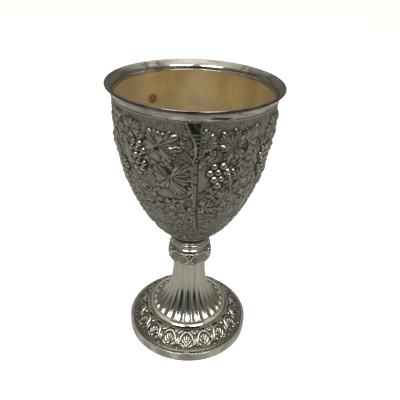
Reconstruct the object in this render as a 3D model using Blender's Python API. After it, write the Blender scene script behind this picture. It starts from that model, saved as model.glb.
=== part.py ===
"""Footed cup of silver sheet with a gilt liner, an embossed double wall and a draw rod through its stem.

Metres, +Z up. The origin is the centre of the ring that the foot stands on, and every piece is
turned about the Z axis. Run it with blender --background --python part.py.
"""

import math

import bmesh
import bpy
from mathutils import Matrix, Vector

# Heights of the stacked pieces, from the table upwards
BAND_HEIGHT = 0.0054  # edge band that the foot stands on
FOOT_RISE = 0.0078  # from the band's top to the ledge that carries the stem
STEM_HEIGHT = 0.0320
KNOP_HEIGHT = 0.0134
SEAT_HEIGHT = 0.0090
BOWL_HEIGHT = 0.0762  # embossed wall, from the seat to the lip ring
LIP_HEIGHT = 0.0047
JOINT_GAP = 0.0003  # left between pieces that are soldered or clamped face to face

# Outer radii
MOUTH_RADIUS = 0.0393  # embossed wall, where the lip ring covers it
LIP_FLARE = 0.0030  # how far the rolled edge stands out past the wall
SEAT_RADIUS = 0.0136  # where the bowl rests on its seat
WAIST_RADIUS = 0.0102  # under the seat
KNOP_RADIUS = 0.0127
STEM_TOP_RADIUS = 0.0091
STEM_BASE_RADIUS = 0.0209
RING_WIDTH = 0.0034  # polished ring round the foot of the flutes
FOOT_RADIUS = 0.0352

# Sheet and edges
WALL = 0.0005  # embossed wall
LINER_WALL = 0.0006
LIP_BEAD = 0.0009  # radius of the rolled edge
LIP_LAND = 0.0006  # width of the flat on top of the rolled edge
LIP_SHOULDER = 0.0004  # bead at the lip ring's lower edge, proud of the wall
FOOT_WALL = 0.0008
BAND_WALL = 0.0012
KNOP_WALL = 0.0012
STEM_WALL = 0.0007  # behind the flutes

# Flutes of the stem
FLUTES = 24
FLUTE_DEPTH = 0.0007
FLUTE_COLUMNS = 3

# Draw rod and what holds it
ROD_RADIUS = 0.0025
ROD_CLEARANCE = 0.0004
ROD_TAIL = 0.0025  # rod below the nut
FLANGE_RADIUS = 0.0090  # soldered under the liner
FLANGE_HEIGHT = 0.0015
STEM_CAP = 0.0020  # closed top of the stem
PLATE_WALL = 0.0012
PLATE_DISH = 0.0020  # rise of the bearing plate's middle
WASHER_WIDTH = 0.0018
WASHER_HEIGHT = 0.0012
WASHER_SLIT = 0.0006
NUT_WALL = 0.0011  # from the nut's bore to its flats
NUT_HEIGHT = 0.0040
LEDGE_MARGIN = 0.0010  # ledge inside the stem's bore
PLATE_LAP = 0.0035  # bearing plate under the ledge

# Other outlines
BOWL_FULLNESS = 2.3  # exponents of the bowl's curve
BOWL_SPRING = 0.8
SHOULDER_INSET = 0.0006  # foot cone, outside the polished ring
SEAM_TURN = math.radians(1.5)  # of the seams between the two halves, about Z
BOWL_STEPS = 9
STEM_STEPS = 7
ROUND_STEPS = 48
COLLAR_STEPS = 32
ROD_STEPS = 20
NUT_STEPS = 24
SMOOTH_ANGLE = math.radians(35)

SILVER = (0.78, 0.77, 0.72)
DARK_SILVER = (0.34, 0.33, 0.29)
GILT = (0.80, 0.62, 0.30)
BRASS = (0.72, 0.56, 0.30)
STEEL = (0.55, 0.56, 0.57)

# Places that follow
LEDGE_Z = BAND_HEIGHT + FOOT_RISE
STEM_Z = LEDGE_Z + JOINT_GAP
KNOP_Z = STEM_Z + STEM_HEIGHT + JOINT_GAP
SEAT_Z = KNOP_Z + KNOP_HEIGHT + JOINT_GAP
BOWL_Z = SEAT_Z + SEAT_HEIGHT + JOINT_GAP
LIP_Z = BOWL_Z + BOWL_HEIGHT + JOINT_GAP
LIP_RADIUS = MOUTH_RADIUS + LIP_FLARE
RING_INNER = STEM_BASE_RADIUS + JOINT_GAP
RING_RADIUS = RING_INNER + RING_WIDTH
BORE_RADIUS = ROD_RADIUS + ROD_CLEARANCE
LINER_Z = BOWL_Z + FLANGE_HEIGHT + JOINT_GAP
STEM_SHEET = FLUTE_DEPTH + STEM_WALL
LEDGE_RADIUS = STEM_BASE_RADIUS - STEM_SHEET - LEDGE_MARGIN


def material(name, colour, roughness):
    """A plain metal of this colour."""
    made = bpy.data.materials.get(name) or bpy.data.materials.new(name)
    made.use_nodes = True
    shader = made.node_tree.nodes["Principled BSDF"]
    shader.inputs["Base Color"].default_value = (*colour, 1)
    shader.inputs["Metallic"].default_value = 1
    shader.inputs["Roughness"].default_value = roughness
    return made


def finished(name, bm, metal):
    """The bmesh as a named object, with closed faces that point out."""
    bmesh.ops.remove_doubles(bm, verts=bm.verts, dist=1e-6)
    bmesh.ops.recalc_face_normals(bm, faces=bm.faces)
    mesh = bpy.data.meshes.new(name)
    bm.to_mesh(mesh)
    bm.free()
    mesh.shade_smooth()
    mesh.set_sharp_from_angle(angle=SMOOTH_ANGLE)
    mesh.materials.append(metal)
    made = bpy.data.objects.new(name, mesh)
    bpy.context.collection.objects.link(made)
    return made


def bezier(start, start_pull, end_pull, end, steps):
    """Points of a cubic curve through start and end, as (radius, height)."""
    points = []
    for i in range(steps + 1):
        t = i / steps
        weights = ((1 - t) ** 3, 3 * t * (1 - t) ** 2, 3 * t * t * (1 - t), t**3)
        knots = (start, start_pull, end_pull, end)
        points.append(tuple(sum(w * k[axis] for w, k in zip(weights, knots)) for axis in (0, 1)))
    return points


def arc(centre, half_width, half_height, first, last, steps):
    """Points of an ellipse's arc, its angles counted from +radius towards +height."""
    angles = [first + (last - first) * i / steps for i in range(steps + 1)]
    return [
        (centre[0] + half_width * math.cos(a), centre[1] + half_height * math.sin(a))
        for a in angles
    ]


def offset(outline, distance):
    """The outline moved sideways, to its left as one walks along it."""
    moved = []
    for i, point in enumerate(outline):
        before = outline[max(i - 1, 0)]
        after = outline[min(i + 1, len(outline) - 1)]
        along = Vector(after) - Vector(before)
        left = Vector((-along.y, along.x)).normalized()
        moved.append(tuple(Vector(point) + left * distance))
    return moved


def radius_at(outline, height):
    """Where a rising outline crosses this height."""
    for (low_radius, low), (high_radius, high) in zip(outline, outline[1:]):
        if low <= height <= high:
            return low_radius + (high_radius - low_radius) * (height - low) / (high - low)
    raise ValueError(f"the outline never reaches {height}")


def turned_mesh(outline, closed=True, steps=ROUND_STEPS):
    """An outline of (radius, height) points turned full circle about Z. An open one ends on the axis."""
    bm = bmesh.new()
    verts = [bm.verts.new((radius, 0, height)) for radius, height in outline]
    pairs = list(zip(verts, verts[1:]))
    if closed:
        pairs.append((verts[-1], verts[0]))
    edges = [bm.edges.new(pair) for pair in pairs]
    bmesh.ops.spin(
        bm,
        geom=verts + edges,
        axis=(0, 0, 1),
        cent=(0, 0, 0),
        angle=math.tau,
        steps=steps,
        use_merge=True,
    )
    bmesh.ops.remove_doubles(bm, verts=bm.verts, dist=1e-6)
    return bm


def turned(name, outline, metal, closed=True, steps=ROUND_STEPS):
    return finished(name, turned_mesh(outline, closed, steps), metal)


def bowl_curve():
    """Outer line of the embossed wall's ground, from the seat up to the lip ring."""
    points = []
    for i in range(BOWL_STEPS + 1):
        # Stations lie closer together at the foot, where the curve is tight.
        share = (i / BOWL_STEPS) ** 1.6
        swell = (1 - (1 - share) ** BOWL_FULLNESS) ** BOWL_SPRING
        radius = SEAT_RADIUS + (MOUTH_RADIUS - SEAT_RADIUS) * swell
        points.append((radius, BOWL_Z + BOWL_HEIGHT * share))
    return points


def wall_half(name, side, metal):
    """Half of the embossed wall, cut clear of the other half along the seams."""
    outside = bowl_curve()
    inside = offset(outside, WALL)
    inside[0] = (outside[0][0] - WALL, BOWL_Z + WALL)
    inside[-1] = (inside[-1][0], outside[-1][1])
    foot_radius = FLANGE_RADIUS + 2 * ROD_CLEARANCE
    foot = [(foot_radius, BOWL_Z + WALL), (foot_radius, BOWL_Z)]
    bm = turned_mesh(outside + inside[::-1] + foot)
    bmesh.ops.rotate(bm, verts=bm.verts, matrix=Matrix.Rotation(SEAM_TURN, 3, "Z"))
    normal = Matrix.Rotation(SEAM_TURN, 3, "Z") @ Vector((side, 0, 0))
    bmesh.ops.bisect_plane(
        bm,
        geom=bm.verts[:] + bm.edges[:] + bm.faces[:],
        plane_co=normal * JOINT_GAP / 2,
        plane_no=normal,
        clear_inner=True,
    )
    rims = [edge for edge in bm.edges if edge.is_boundary]
    bmesh.ops.holes_fill(bm, edges=rims, sides=0)
    return finished(name, bm, metal)


def liner_outside():
    """The liner's outer line: the wall's inside with a gap, down to a flat floor on the rod's flange."""
    lined = offset(bowl_curve(), WALL + JOINT_GAP)
    lined[-1] = (lined[-1][0], BOWL_Z + BOWL_HEIGHT)
    above = [point for point in lined if point[1] > LINER_Z + 2 * LINER_WALL]
    return [(0, LINER_Z), (radius_at(lined, LINER_Z), LINER_Z)] + above


def liner(metal):
    outside = liner_outside()
    inside = offset(outside, LINER_WALL)
    inside[0] = (0, LINER_Z + LINER_WALL)
    inside[-1] = (inside[-1][0], outside[-1][1])
    return turned("bowl_liner", outside + inside[::-1], metal, closed=False)


def lip_ring(metal):
    """Flared ring over the tops of both walls, with a rolled edge, a flat land and a small lower bead."""
    top = LIP_Z + LIP_HEIGHT
    throat = liner_outside()[-1][0] - LINER_WALL
    bead_centre = (LIP_RADIUS - LIP_BEAD, top - LIP_BEAD)
    crown = (bead_centre[0] - LIP_LAND, top)
    flare = bezier(
        (throat, LIP_Z),
        (throat, LIP_Z + 0.6 * LIP_HEIGHT),
        (crown[0] - 0.4 * (crown[0] - throat), top - 0.15 * LIP_HEIGHT),
        crown,
        4,
    )
    edge = arc(bead_centre, LIP_BEAD, LIP_BEAD, math.pi / 2, -math.pi / 2, 4)
    neck = (MOUTH_RADIUS, LIP_Z + 2 * LIP_SHOULDER)
    reach = bead_centre[0] - neck[0]
    drop = edge[-1][1] - neck[1]
    cove = bezier(
        edge[-1],
        (neck[0] + 0.5 * reach, neck[1] + 0.8 * drop),
        (neck[0] + 0.2 * reach, neck[1] + 0.4 * drop),
        neck,
        3,
    )
    bead = arc((neck[0], LIP_Z + LIP_SHOULDER), LIP_SHOULDER, LIP_SHOULDER, math.pi / 2, -math.pi / 2, 3)
    return turned("lip_ring", flare + edge + cove[1:] + bead[1:], metal)


def bowl_seat(metal):
    """Waisted collar that the bowl rests on, with a small bead above its foot."""
    top = SEAT_Z + SEAT_HEIGHT
    bead_height = 0.2 * SEAT_HEIGHT
    bead = arc((WAIST_RADIUS, SEAT_Z + bead_height / 2), bead_height / 3, bead_height / 2, -1.4, 1.4, 3)
    cove = bezier(
        (WAIST_RADIUS, SEAT_Z + 1.15 * bead_height),
        (WAIST_RADIUS + 0.3 * (SEAT_RADIUS - WAIST_RADIUS), SEAT_Z + 0.5 * SEAT_HEIGHT),
        (WAIST_RADIUS + 0.7 * (SEAT_RADIUS - WAIST_RADIUS), SEAT_Z + 0.75 * SEAT_HEIGHT),
        (SEAT_RADIUS, top - 0.05 * SEAT_HEIGHT),
        4,
    )
    outline = [(BORE_RADIUS, SEAT_Z), (WAIST_RADIUS, SEAT_Z)] + bead + cove
    return turned("bowl_seat", outline + [(SEAT_RADIUS, top), (BORE_RADIUS, top)], metal, steps=COLLAR_STEPS)


def knop(metal):
    """Hollow bulging collar with a hole for the rod in its top and bottom."""
    middle = KNOP_Z + KNOP_HEIGHT / 2
    bulge = KNOP_RADIUS - WAIST_RADIUS
    outside = arc((WAIST_RADIUS, middle), bulge, KNOP_HEIGHT / 2, -math.pi / 2, math.pi / 2, 8)
    inside = arc(
        (WAIST_RADIUS, middle),
        bulge - KNOP_WALL,
        KNOP_HEIGHT / 2 - KNOP_WALL,
        math.pi / 2,
        -math.pi / 2,
        4,
    )
    top = KNOP_Z + KNOP_HEIGHT
    upper = [(BORE_RADIUS, top), (BORE_RADIUS, top - KNOP_WALL)]
    lower = [(BORE_RADIUS, KNOP_Z + KNOP_WALL), (BORE_RADIUS, KNOP_Z)]
    return turned("knop", outside + upper + inside + lower, metal, steps=COLLAR_STEPS)


def stem_line():
    """Outer line of the stem over the flutes' ridges, from its top down to its base."""
    top = STEM_Z + STEM_HEIGHT
    skirt = STEM_Z + 0.05 * STEM_HEIGHT
    rise = top - skirt
    return bezier(
        (STEM_TOP_RADIUS, top),
        (STEM_TOP_RADIUS, skirt + 0.49 * rise),
        (STEM_TOP_RADIUS + 0.29 * (STEM_BASE_RADIUS - STEM_TOP_RADIUS), skirt + 0.16 * rise),
        (STEM_BASE_RADIUS, skirt),
        STEM_STEPS,
    )


def stem(metal):
    """Trumpet with flutes that deepen towards the base, a closed top with a hole, and an open foot."""
    ridge = stem_line()
    top = ridge[0][1]
    cap_z = top - STEM_CAP
    inner = [point for point in offset(ridge, -STEM_SHEET) if point[1] < cap_z]
    inner[-1] = (STEM_BASE_RADIUS - STEM_SHEET, inner[-1][1])
    inside = [(BORE_RADIUS, cap_z), (inner[0][0], cap_z)] + inner + [(inner[-1][0], STEM_Z)]
    outside = ridge + [(STEM_BASE_RADIUS, STEM_Z)]
    bm = turned_mesh([(BORE_RADIUS, top)] + outside + inside[::-1], steps=FLUTES * FLUTE_COLUMNS)
    middle = {}
    for radius, height in ridge[1:-1]:
        middle[round(height, 7)] = radius
    for vert in bm.verts:
        radius = Vector(vert.co.xy).length
        ridge_radius = middle.get(round(vert.co.z, 7))
        column = round(math.atan2(vert.co.y, vert.co.x) / math.tau * FLUTES * FLUTE_COLUMNS)
        if ridge_radius and abs(radius - ridge_radius) < 1e-6 and column % FLUTE_COLUMNS:
            share = (ridge_radius - STEM_TOP_RADIUS) / (STEM_BASE_RADIUS - STEM_TOP_RADIUS)
            depth = FLUTE_DEPTH * (0.5 + 0.5 * share)
            vert.co.xy *= (radius - depth) / radius
    return finished("stem", bm, metal)


def foot_ring(metal):
    """Half-round polished ring on the ledge, round the foot of the flutes."""
    half_width = RING_WIDTH / 2
    outline = arc((RING_INNER + half_width, STEM_Z), half_width, 1.6 * half_width, 0, math.pi, 6)
    return turned("foot_ring", outline, metal)


def foot_plate(metal):
    """Sloping foot with a flat ledge that carries the ring and the stem."""
    edge = (FOOT_RADIUS - BAND_WALL - JOINT_GAP, BAND_HEIGHT)
    shoulder = (RING_RADIUS + SHOULDER_INSET, LEDGE_Z)
    run = edge[0] - shoulder[0]
    top = bezier(
        edge,
        (edge[0] - 0.25 * run, BAND_HEIGHT + 0.38 * FOOT_RISE),
        (shoulder[0] + 0.3 * run, LEDGE_Z - 0.2 * FOOT_RISE),
        shoulder,
        4,
    )
    top.append((LEDGE_RADIUS, LEDGE_Z))
    under = offset(top, FOOT_WALL)
    under[-1] = (LEDGE_RADIUS, LEDGE_Z - FOOT_WALL)
    under[0] = (edge[0], edge[1] - 1.4 * FOOT_WALL)
    return turned("foot_plate", top + under[::-1], metal)


def foot_band(metal):
    """Flat edge band that the cup stands on."""
    inner = FOOT_RADIUS - BAND_WALL
    edge = 0.2 * BAND_WALL
    outline = [
        (inner, 0),
        (FOOT_RADIUS, 0),
        (FOOT_RADIUS, BAND_HEIGHT - edge),
        (FOOT_RADIUS - edge, BAND_HEIGHT),
        (inner, BAND_HEIGHT),
    ]
    return turned("foot_band", outline, metal)


def rod_end():
    """Height of the draw rod's lower end."""
    return nut_z() - ROD_TAIL


def plate_z():
    """Underside of the bearing plate at its rim, below the ledge."""
    return LEDGE_Z - FOOT_WALL - JOINT_GAP - PLATE_WALL


def washer_z():
    return plate_z() + PLATE_DISH - JOINT_GAP - WASHER_HEIGHT


def nut_z():
    return washer_z() - JOINT_GAP - NUT_HEIGHT


def draw_rod(metal):
    """Rod with a round flange that is soldered under the liner."""
    outline = [
        (0, BOWL_Z + FLANGE_HEIGHT),
        (FLANGE_RADIUS, BOWL_Z + FLANGE_HEIGHT),
        (FLANGE_RADIUS, BOWL_Z),
        (ROD_RADIUS, BOWL_Z),
        (ROD_RADIUS, rod_end() + 0.2 * ROD_RADIUS),
        (0.8 * ROD_RADIUS, rod_end()),
        (0, rod_end()),
    ]
    return turned("draw_rod", outline, metal, closed=False, steps=ROD_STEPS)


def bearing_plate(metal):
    """Dished disc under the ledge that spreads the nut's pull."""
    rim = LEDGE_RADIUS + PLATE_LAP
    low = plate_z()
    flat = BORE_RADIUS + WASHER_WIDTH + PLATE_WALL
    under = [(rim, low), (LEDGE_RADIUS - PLATE_WALL, low)] + [
        (flat, low + PLATE_DISH),
        (BORE_RADIUS, low + PLATE_DISH),
    ]
    over = [(radius, height + PLATE_WALL) for radius, height in under]
    return turned("bearing_plate", over + under[::-1], metal, steps=COLLAR_STEPS)


def lock_washer(metal):
    """Split spring washer, flattened by the nut."""
    low = washer_z()
    high = low + WASHER_HEIGHT
    outer = BORE_RADIUS + WASHER_WIDTH
    outline = [(BORE_RADIUS, low), (outer, low), (outer, high), (BORE_RADIUS, high)]
    bm = turned_mesh(outline, steps=ROD_STEPS)
    washer = finished("lock_washer", bm, metal)
    bpy.ops.mesh.primitive_cube_add(size=1, location=(outer, 0, low + WASHER_HEIGHT / 2))
    slit = bpy.context.object
    slit.name = "slit_cutter"
    slit.scale = (2 * outer, WASHER_SLIT, 3 * WASHER_HEIGHT)
    slit.hide_render = True
    slit.display_type = "WIRE"
    cut = washer.modifiers.new("slit", "BOOLEAN")
    cut.operation = "DIFFERENCE"
    cut.object = slit
    return washer


def hexagon(angle):
    """How much further out than its flats a hexagon's side lies, in this direction."""
    from_middle = (angle % (math.pi / 3)) - math.pi / 6
    return 1 / math.cos(from_middle)


def tie_nut(metal):
    """Six-sided nut on the rod."""
    low = nut_z()
    high = low + NUT_HEIGHT
    flats = BORE_RADIUS + NUT_WALL
    outline = [(BORE_RADIUS, low), (flats, low), (flats, high), (BORE_RADIUS, high)]
    bm = turned_mesh(outline, steps=NUT_STEPS)
    for vert in bm.verts:
        if Vector(vert.co.xy).length > (BORE_RADIUS + flats) / 2:
            vert.co.xy *= hexagon(math.atan2(vert.co.y, vert.co.x))
    return finished("tie_nut", bm, metal)


def main():
    for old in list(bpy.data.objects):
        bpy.data.objects.remove(old)
    polished = material("polished_silver", SILVER, 0.15)
    embossed = material("embossed_silver", DARK_SILVER, 0.35)
    gilt = material("gilt", GILT, 0.2)
    brass = material("brass", BRASS, 0.4)
    steel = material("steel", STEEL, 0.4)
    wall_half("bowl_wall_left", -1, embossed)
    wall_half("bowl_wall_right", 1, embossed)
    liner(gilt)
    lip_ring(polished)
    bowl_seat(polished)
    knop(polished)
    stem(polished)
    foot_ring(polished)
    foot_plate(embossed)
    foot_band(polished)
    draw_rod(brass)
    bearing_plate(brass)
    lock_washer(steel)
    tie_nut(brass)


main()
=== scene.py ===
"""Looks of the footed cup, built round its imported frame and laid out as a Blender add-on.

Lengths in the outlines and in the relief are millimetres. Angles round the cup are degrees, 0 at the
front seam (towards -Y) and growing towards +X.
"""

import math

import bmesh
import bpy
import numpy as np
from mathutils import Matrix, Vector


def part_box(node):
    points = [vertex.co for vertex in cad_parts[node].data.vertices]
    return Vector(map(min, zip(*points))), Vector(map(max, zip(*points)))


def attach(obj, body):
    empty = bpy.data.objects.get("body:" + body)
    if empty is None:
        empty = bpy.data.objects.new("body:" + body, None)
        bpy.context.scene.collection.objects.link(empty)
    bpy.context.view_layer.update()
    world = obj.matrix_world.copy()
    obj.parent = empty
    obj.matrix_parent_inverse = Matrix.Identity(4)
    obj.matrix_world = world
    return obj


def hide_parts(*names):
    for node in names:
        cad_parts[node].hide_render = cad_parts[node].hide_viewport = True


bl_info = {
    "name": "Embossed Footed Cup",
    "version": (1, 0, 0),
    "blender": (4, 5, 0),
    "location": "View3D > Sidebar > Cup",
    "description": "Builds an embossed silver cup with a gilt liner round its frame",
    "category": "Object",
}

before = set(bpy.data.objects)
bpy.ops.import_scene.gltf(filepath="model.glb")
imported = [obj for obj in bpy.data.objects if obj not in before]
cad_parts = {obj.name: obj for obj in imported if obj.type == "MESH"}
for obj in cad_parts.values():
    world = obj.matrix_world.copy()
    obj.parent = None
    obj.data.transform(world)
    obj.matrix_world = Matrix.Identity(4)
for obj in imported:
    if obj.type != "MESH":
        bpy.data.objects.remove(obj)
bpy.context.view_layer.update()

MM = 0.001
PLAIN = -1.0  # value of the "along" layer where a surface carries no relief
BORE = 2.9  # radius of the holes that the rod passes through, in mm
LAP = 0.27  # how far the lip and the knop reach down into the joint below them, in mm
LINER_SHEET = 0.6  # thickness of the liner, in mm


def reach(node):
    """How far a node lies from the cup's axis, in mm."""
    low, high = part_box(node)
    return max(high.x, high.y) / MM


def levels(node):
    """Lowest and highest point of a node, in mm."""
    low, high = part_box(node)
    return low.z / MM, high.z / MM


def short_way(angle, whole=360):
    """The angle in degrees, less whole turns, so that it lies within half a turn of 0."""
    return (angle + whole / 2) % whole - whole / 2


# ---------------------------------------------------------------------------------------- outlines


def curve(start, start_pull, end_pull, end, pitch=0.5):
    """Points of a cubic curve, as (radius, level)."""
    knots = np.array([start, start_pull, end_pull, end], float)
    steps = max(4, round(np.hypot(*(knots[3] - knots[0])) / pitch))
    t = np.linspace(0, 1, steps + 1)[:, None]
    weights = ((1 - t) ** 3, 3 * t * (1 - t) ** 2, 3 * t * t * (1 - t), t**3)
    return sum(weight * knot for weight, knot in zip(weights, knots)).tolist()


def arc(centre, width, height, first, last, steps):
    """Points of an ellipse's arc. Its angles are degrees, from the outward direction towards up."""
    angles = np.radians(np.linspace(first, last, steps + 1))
    return np.stack(
        [centre[0] + width * np.cos(angles), centre[1] + height * np.sin(angles)], 1
    ).tolist()


def distances(outline):
    """How far along an outline each of its points lies."""
    steps = np.hypot(*np.diff(np.array(outline), axis=0).T)
    return np.concatenate([[0], np.cumsum(steps)])


def evenly(outline, pitch):
    """The outline with points a pitch apart."""
    outline = np.array(outline)
    along = distances(outline)
    places = np.linspace(0, along[-1], max(2, round(along[-1] / pitch)) + 1)
    return np.stack([np.interp(places, along, outline[:, axis]) for axis in (0, 1)], 1).tolist()


def directions(outline):
    """Which way an outline runs at each of its points."""
    tangent = np.gradient(np.array(outline, float), axis=0)
    return tangent / np.hypot(*tangent.T)[:, None]


def sideways(outline, distance):
    """The outline moved to the right of the way it runs."""
    tangent = directions(outline)
    return (np.array(outline) + distance * np.stack([tangent[:, 1], -tangent[:, 0]], 1)).tolist()


def bowl_outline(settings):
    """The embossed wall's ground, upwards from its foot to its mouth."""
    low, high = levels("bowl_wall_left")
    foot, mouth = reach("bowl_seat"), reach("bowl_wall_left")
    share = np.linspace(0, 1, 400) ** 1.6
    swell = (1 - (1 - share) ** settings.fullness) ** settings.spring
    return np.stack([foot + (mouth - foot) * swell, low + (high - low) * share], 1).tolist()


# ------------------------------------------------------------------------------------------ relief


class Relief:
    """Heights in mm over a turned outline, on a grid of places along it and angles round it.

    The pattern repeats every `repeat` degrees. `matting` is 1 where the ground is punched, `polish`
    is 1 where it is burnished, and `oxide` is 1 where it is black.
    """

    def __init__(self, outline, repeat, pitch):
        outline = np.array(outline)
        places = distances(outline)
        self.along = np.linspace(0, places[-1], round(places[-1] / pitch) + 1)
        self.radius = np.interp(self.along, places, outline[:, 0])
        self.level = np.interp(self.along, places, outline[:, 1])
        self.rising = self.level[-1] > self.level[0]
        self.repeat = repeat
        columns = round(math.radians(repeat) * self.radius.max() / pitch)
        self.angle = np.arange(columns) * repeat / columns
        self.height = np.zeros((len(self.along), columns))
        self.matting = np.zeros_like(self.height)
        self.polish = np.zeros_like(self.height)
        self.oxide = np.zeros_like(self.height)

    def place(self, level):
        """Where along the outline a level lies."""
        order = slice(None) if self.rising else slice(None, None, -1)
        return float(np.interp(level, self.level[order], self.along[order]))

    def turn(self, angle):
        """Degrees from an angle to each column, the short way round."""
        return short_way(self.angle - angle, self.repeat)

    def patch(self, angle, place, size):
        """The cells within size of a point, and how far right of it and along from it each lies."""
        rows = np.flatnonzero(np.abs(self.along - place) < size)
        turn = np.radians(self.turn(angle))
        radius = max(1.0, np.interp(place, self.along, self.radius))
        columns = np.flatnonzero(np.abs(turn) * radius < size)
        right = self.radius[rows][:, None] * turn[columns][None, :]
        up = np.repeat((self.along[rows] - place)[:, None], len(columns), 1)
        return np.ix_(rows, columns), right, up

    def angle_of(self, width, place):
        """How many degrees a width takes up at a place along the outline."""
        return math.degrees(width / np.interp(place, self.along, self.radius))

    def stroke(self, points, width, beads=0.0):
        """How strongly a line through (angle, level) points marks each cell, from 0 to 1."""
        angles, places = smooth_path([(angle, self.place(level)) for angle, level in points])
        mark = np.zeros_like(self.height)
        gone = 0.0
        for i, (angle, place) in enumerate(zip(angles, places)):
            if i:
                across = math.radians(angle - angles[i - 1]) * np.interp(place, self.along, self.radius)
                gone += math.hypot(across, place - places[i - 1])
            strength = 1.0
            if beads:
                strength = 0.5 + 0.5 * abs(math.sin(math.pi * gone / beads))
            where, right, up = self.patch(angle, place, width)
            dab = np.sqrt(np.clip(1 - (right**2 + up**2) / width**2, 0, 1)) * strength
            mark[where] = np.maximum(mark[where], dab)
        return mark

    def raise_to(self, height):
        """Lifts every cell that lies lower than this up to it."""
        self.height = np.maximum(self.height, height)

    def hollow(self, size):
        """How far each cell lies below its neighbourhood, in mm. It is negative on what stands out."""
        mean = self.height.copy()
        for _ in range(2):
            for axis, wraps in ((0, False), (1, True)):
                ahead, back = (np.roll(mean, step, axis) for step in (size, -size))
                if not wraps:
                    ahead[:size], back[-size:] = mean[:size], mean[-size:]
                mean = (ahead + 2 * mean + back) / 4
        return mean - self.height

    def tarnish(self):
        """How black the oxide lies on each cell, from 0 to 1."""
        near, wide = self.hollow(2), self.hollow(6)
        return step(near * 4.5 + wide * 3.2 + self.oxide + 0.08, 1)

    def rubbed(self):
        """How far each cell stands out of what is next to it, from 0 to 1."""
        return step(-self.hollow(2) * 5 - self.hollow(6) * 1.8 - 0.15, 1)

    def sample(self, grid, angle, along):
        """The grid's values at these angles and places, between its cells."""
        column = (angle % self.repeat) / self.repeat * grid.shape[1]
        row = np.clip(along / self.along[-1], 0, 1) * (grid.shape[0] - 1)
        left, low = np.floor(column).astype(int), np.floor(row).astype(int)
        across, up = column - left, row - low
        left, right = left % grid.shape[1], (left + 1) % grid.shape[1]
        high = np.minimum(low + 1, grid.shape[0] - 1)
        below = grid[low, left] * (1 - across) + grid[low, right] * across
        above = grid[high, left] * (1 - across) + grid[high, right] * across
        return below * (1 - up) + above * up


def smooth_path(points, steps=14):
    """A smooth line through the given points, as its first coordinates and its second ones."""
    knots = np.array([points[0], *points, points[-1]], float)
    t = np.arange(steps)[:, None] / steps
    path = []
    for before, start, end, after in zip(knots, knots[1:], knots[2:], knots[3:]):
        bend = 2 * start + (end - before) * t
        bend = bend + (2 * before - 5 * start + 4 * end - after) * t**2
        path.append((bend + (3 * start - before - 3 * end + after) * t**3) / 2)
    path = np.vstack([*path, knots[-1:]])
    return path[:, 0], path[:, 1]


def step(value, width):
    """0 below 0 and 1 above width, with a smooth rise between."""
    t = np.clip(value / width, 0, 1)
    return t * t * (3 - 2 * t)


def hump(offset, half_width):
    """1 at an offset of 0, falling off to 0 at the half width."""
    return np.clip(1 - (offset / half_width) ** 2, 0, 1)


def pebble(across, up):
    """A round-topped mound, 1 high in its middle and 1 in radius."""
    return np.clip(1 - across**2 - up**2, 0, 1) ** 0.5


def lobe(relief, angle, place, aim, length, fingers, lift, spread=34.0):
    """A swelling lobe of a leaf: a fan of fingers from a point. Aim 0 is to the right and 90 up."""
    where, right, up = relief.patch(angle, place, length)
    reached = np.hypot(right, up)
    turned = short_way(np.degrees(np.arctan2(up, right)) - aim)
    side = np.clip(turned / spread, -1, 1)
    finger = (fingers * (side + 1) / 2) % 1
    ridge = 1 - np.abs(2 * finger - 1) ** 1.6
    tip = length * (1 - side**2) ** 0.34 * (0.86 + 0.14 * ridge)
    edge = np.minimum(tip - reached, (1 - np.abs(side)) * reached * math.radians(spread))
    share = np.clip(reached / np.maximum(tip, 0.1), 0, 1)
    puff = np.sin(np.pi * share**1.4) ** 0.8 * (1 - 0.55 * side**2)
    crease = (1 - ridge) * step(share - 0.14, 0.3)
    body = lift * (0.26 + 0.86 * puff - 0.40 * crease) * (0.35 + 0.65 * step(edge, 0.55))
    covered = edge > 0
    old = relief.height[where]
    relief.height[where] = np.where(covered, body, old - 0.10 * (step(edge + 0.5, 0.5) * (old < 0.3)))
    relief.matting[where] *= ~covered
    relief.polish[where] = np.where(covered, 0.55, relief.polish[where])


def leaf(relief, angle, level, lobes, lift):
    """A vine leaf: lobes as (aim, length, fingers) from one point, with a rib along each."""
    place = relief.place(level)
    for aim, length, fingers in sorted(lobes, key=lambda each: -each[1]):
        lobe(relief, angle, place, aim, length, fingers, lift)
    where, right, up = relief.patch(angle, place, max(length for _, length, _ in lobes))
    ribs = np.clip(1.6 - np.hypot(right, up) / 0.8, 0, 1)
    for aim, length, _ in lobes:
        across, rise = math.cos(math.radians(aim)), math.sin(math.radians(aim))
        reached, off = right * across + up * rise, up * across - right * rise
        thin = (0.34 * (1.2 - reached / length)).clip(0.05)
        rib = hump(off, thin) * (reached > 0) * (reached < 0.7 * length)
        ribs = np.maximum(ribs, rib)
    relief.height[where] += 0.32 * lift * ribs


def berry(relief, angle, place, radius, lift):
    """One round berry."""
    where, right, up = relief.patch(angle, place, radius)
    dome = np.sqrt(np.clip(1 - (right**2 + up**2) / radius**2, 0, 1))
    body = np.where(dome > 0, lift * (0.15 + 0.85 * dome), -9)
    relief.height[where] = np.maximum(relief.height[where], body)
    relief.matting[where] *= dome == 0
    relief.polish[where] = np.maximum(relief.polish[where], 0.7 * (dome > 0))


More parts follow.
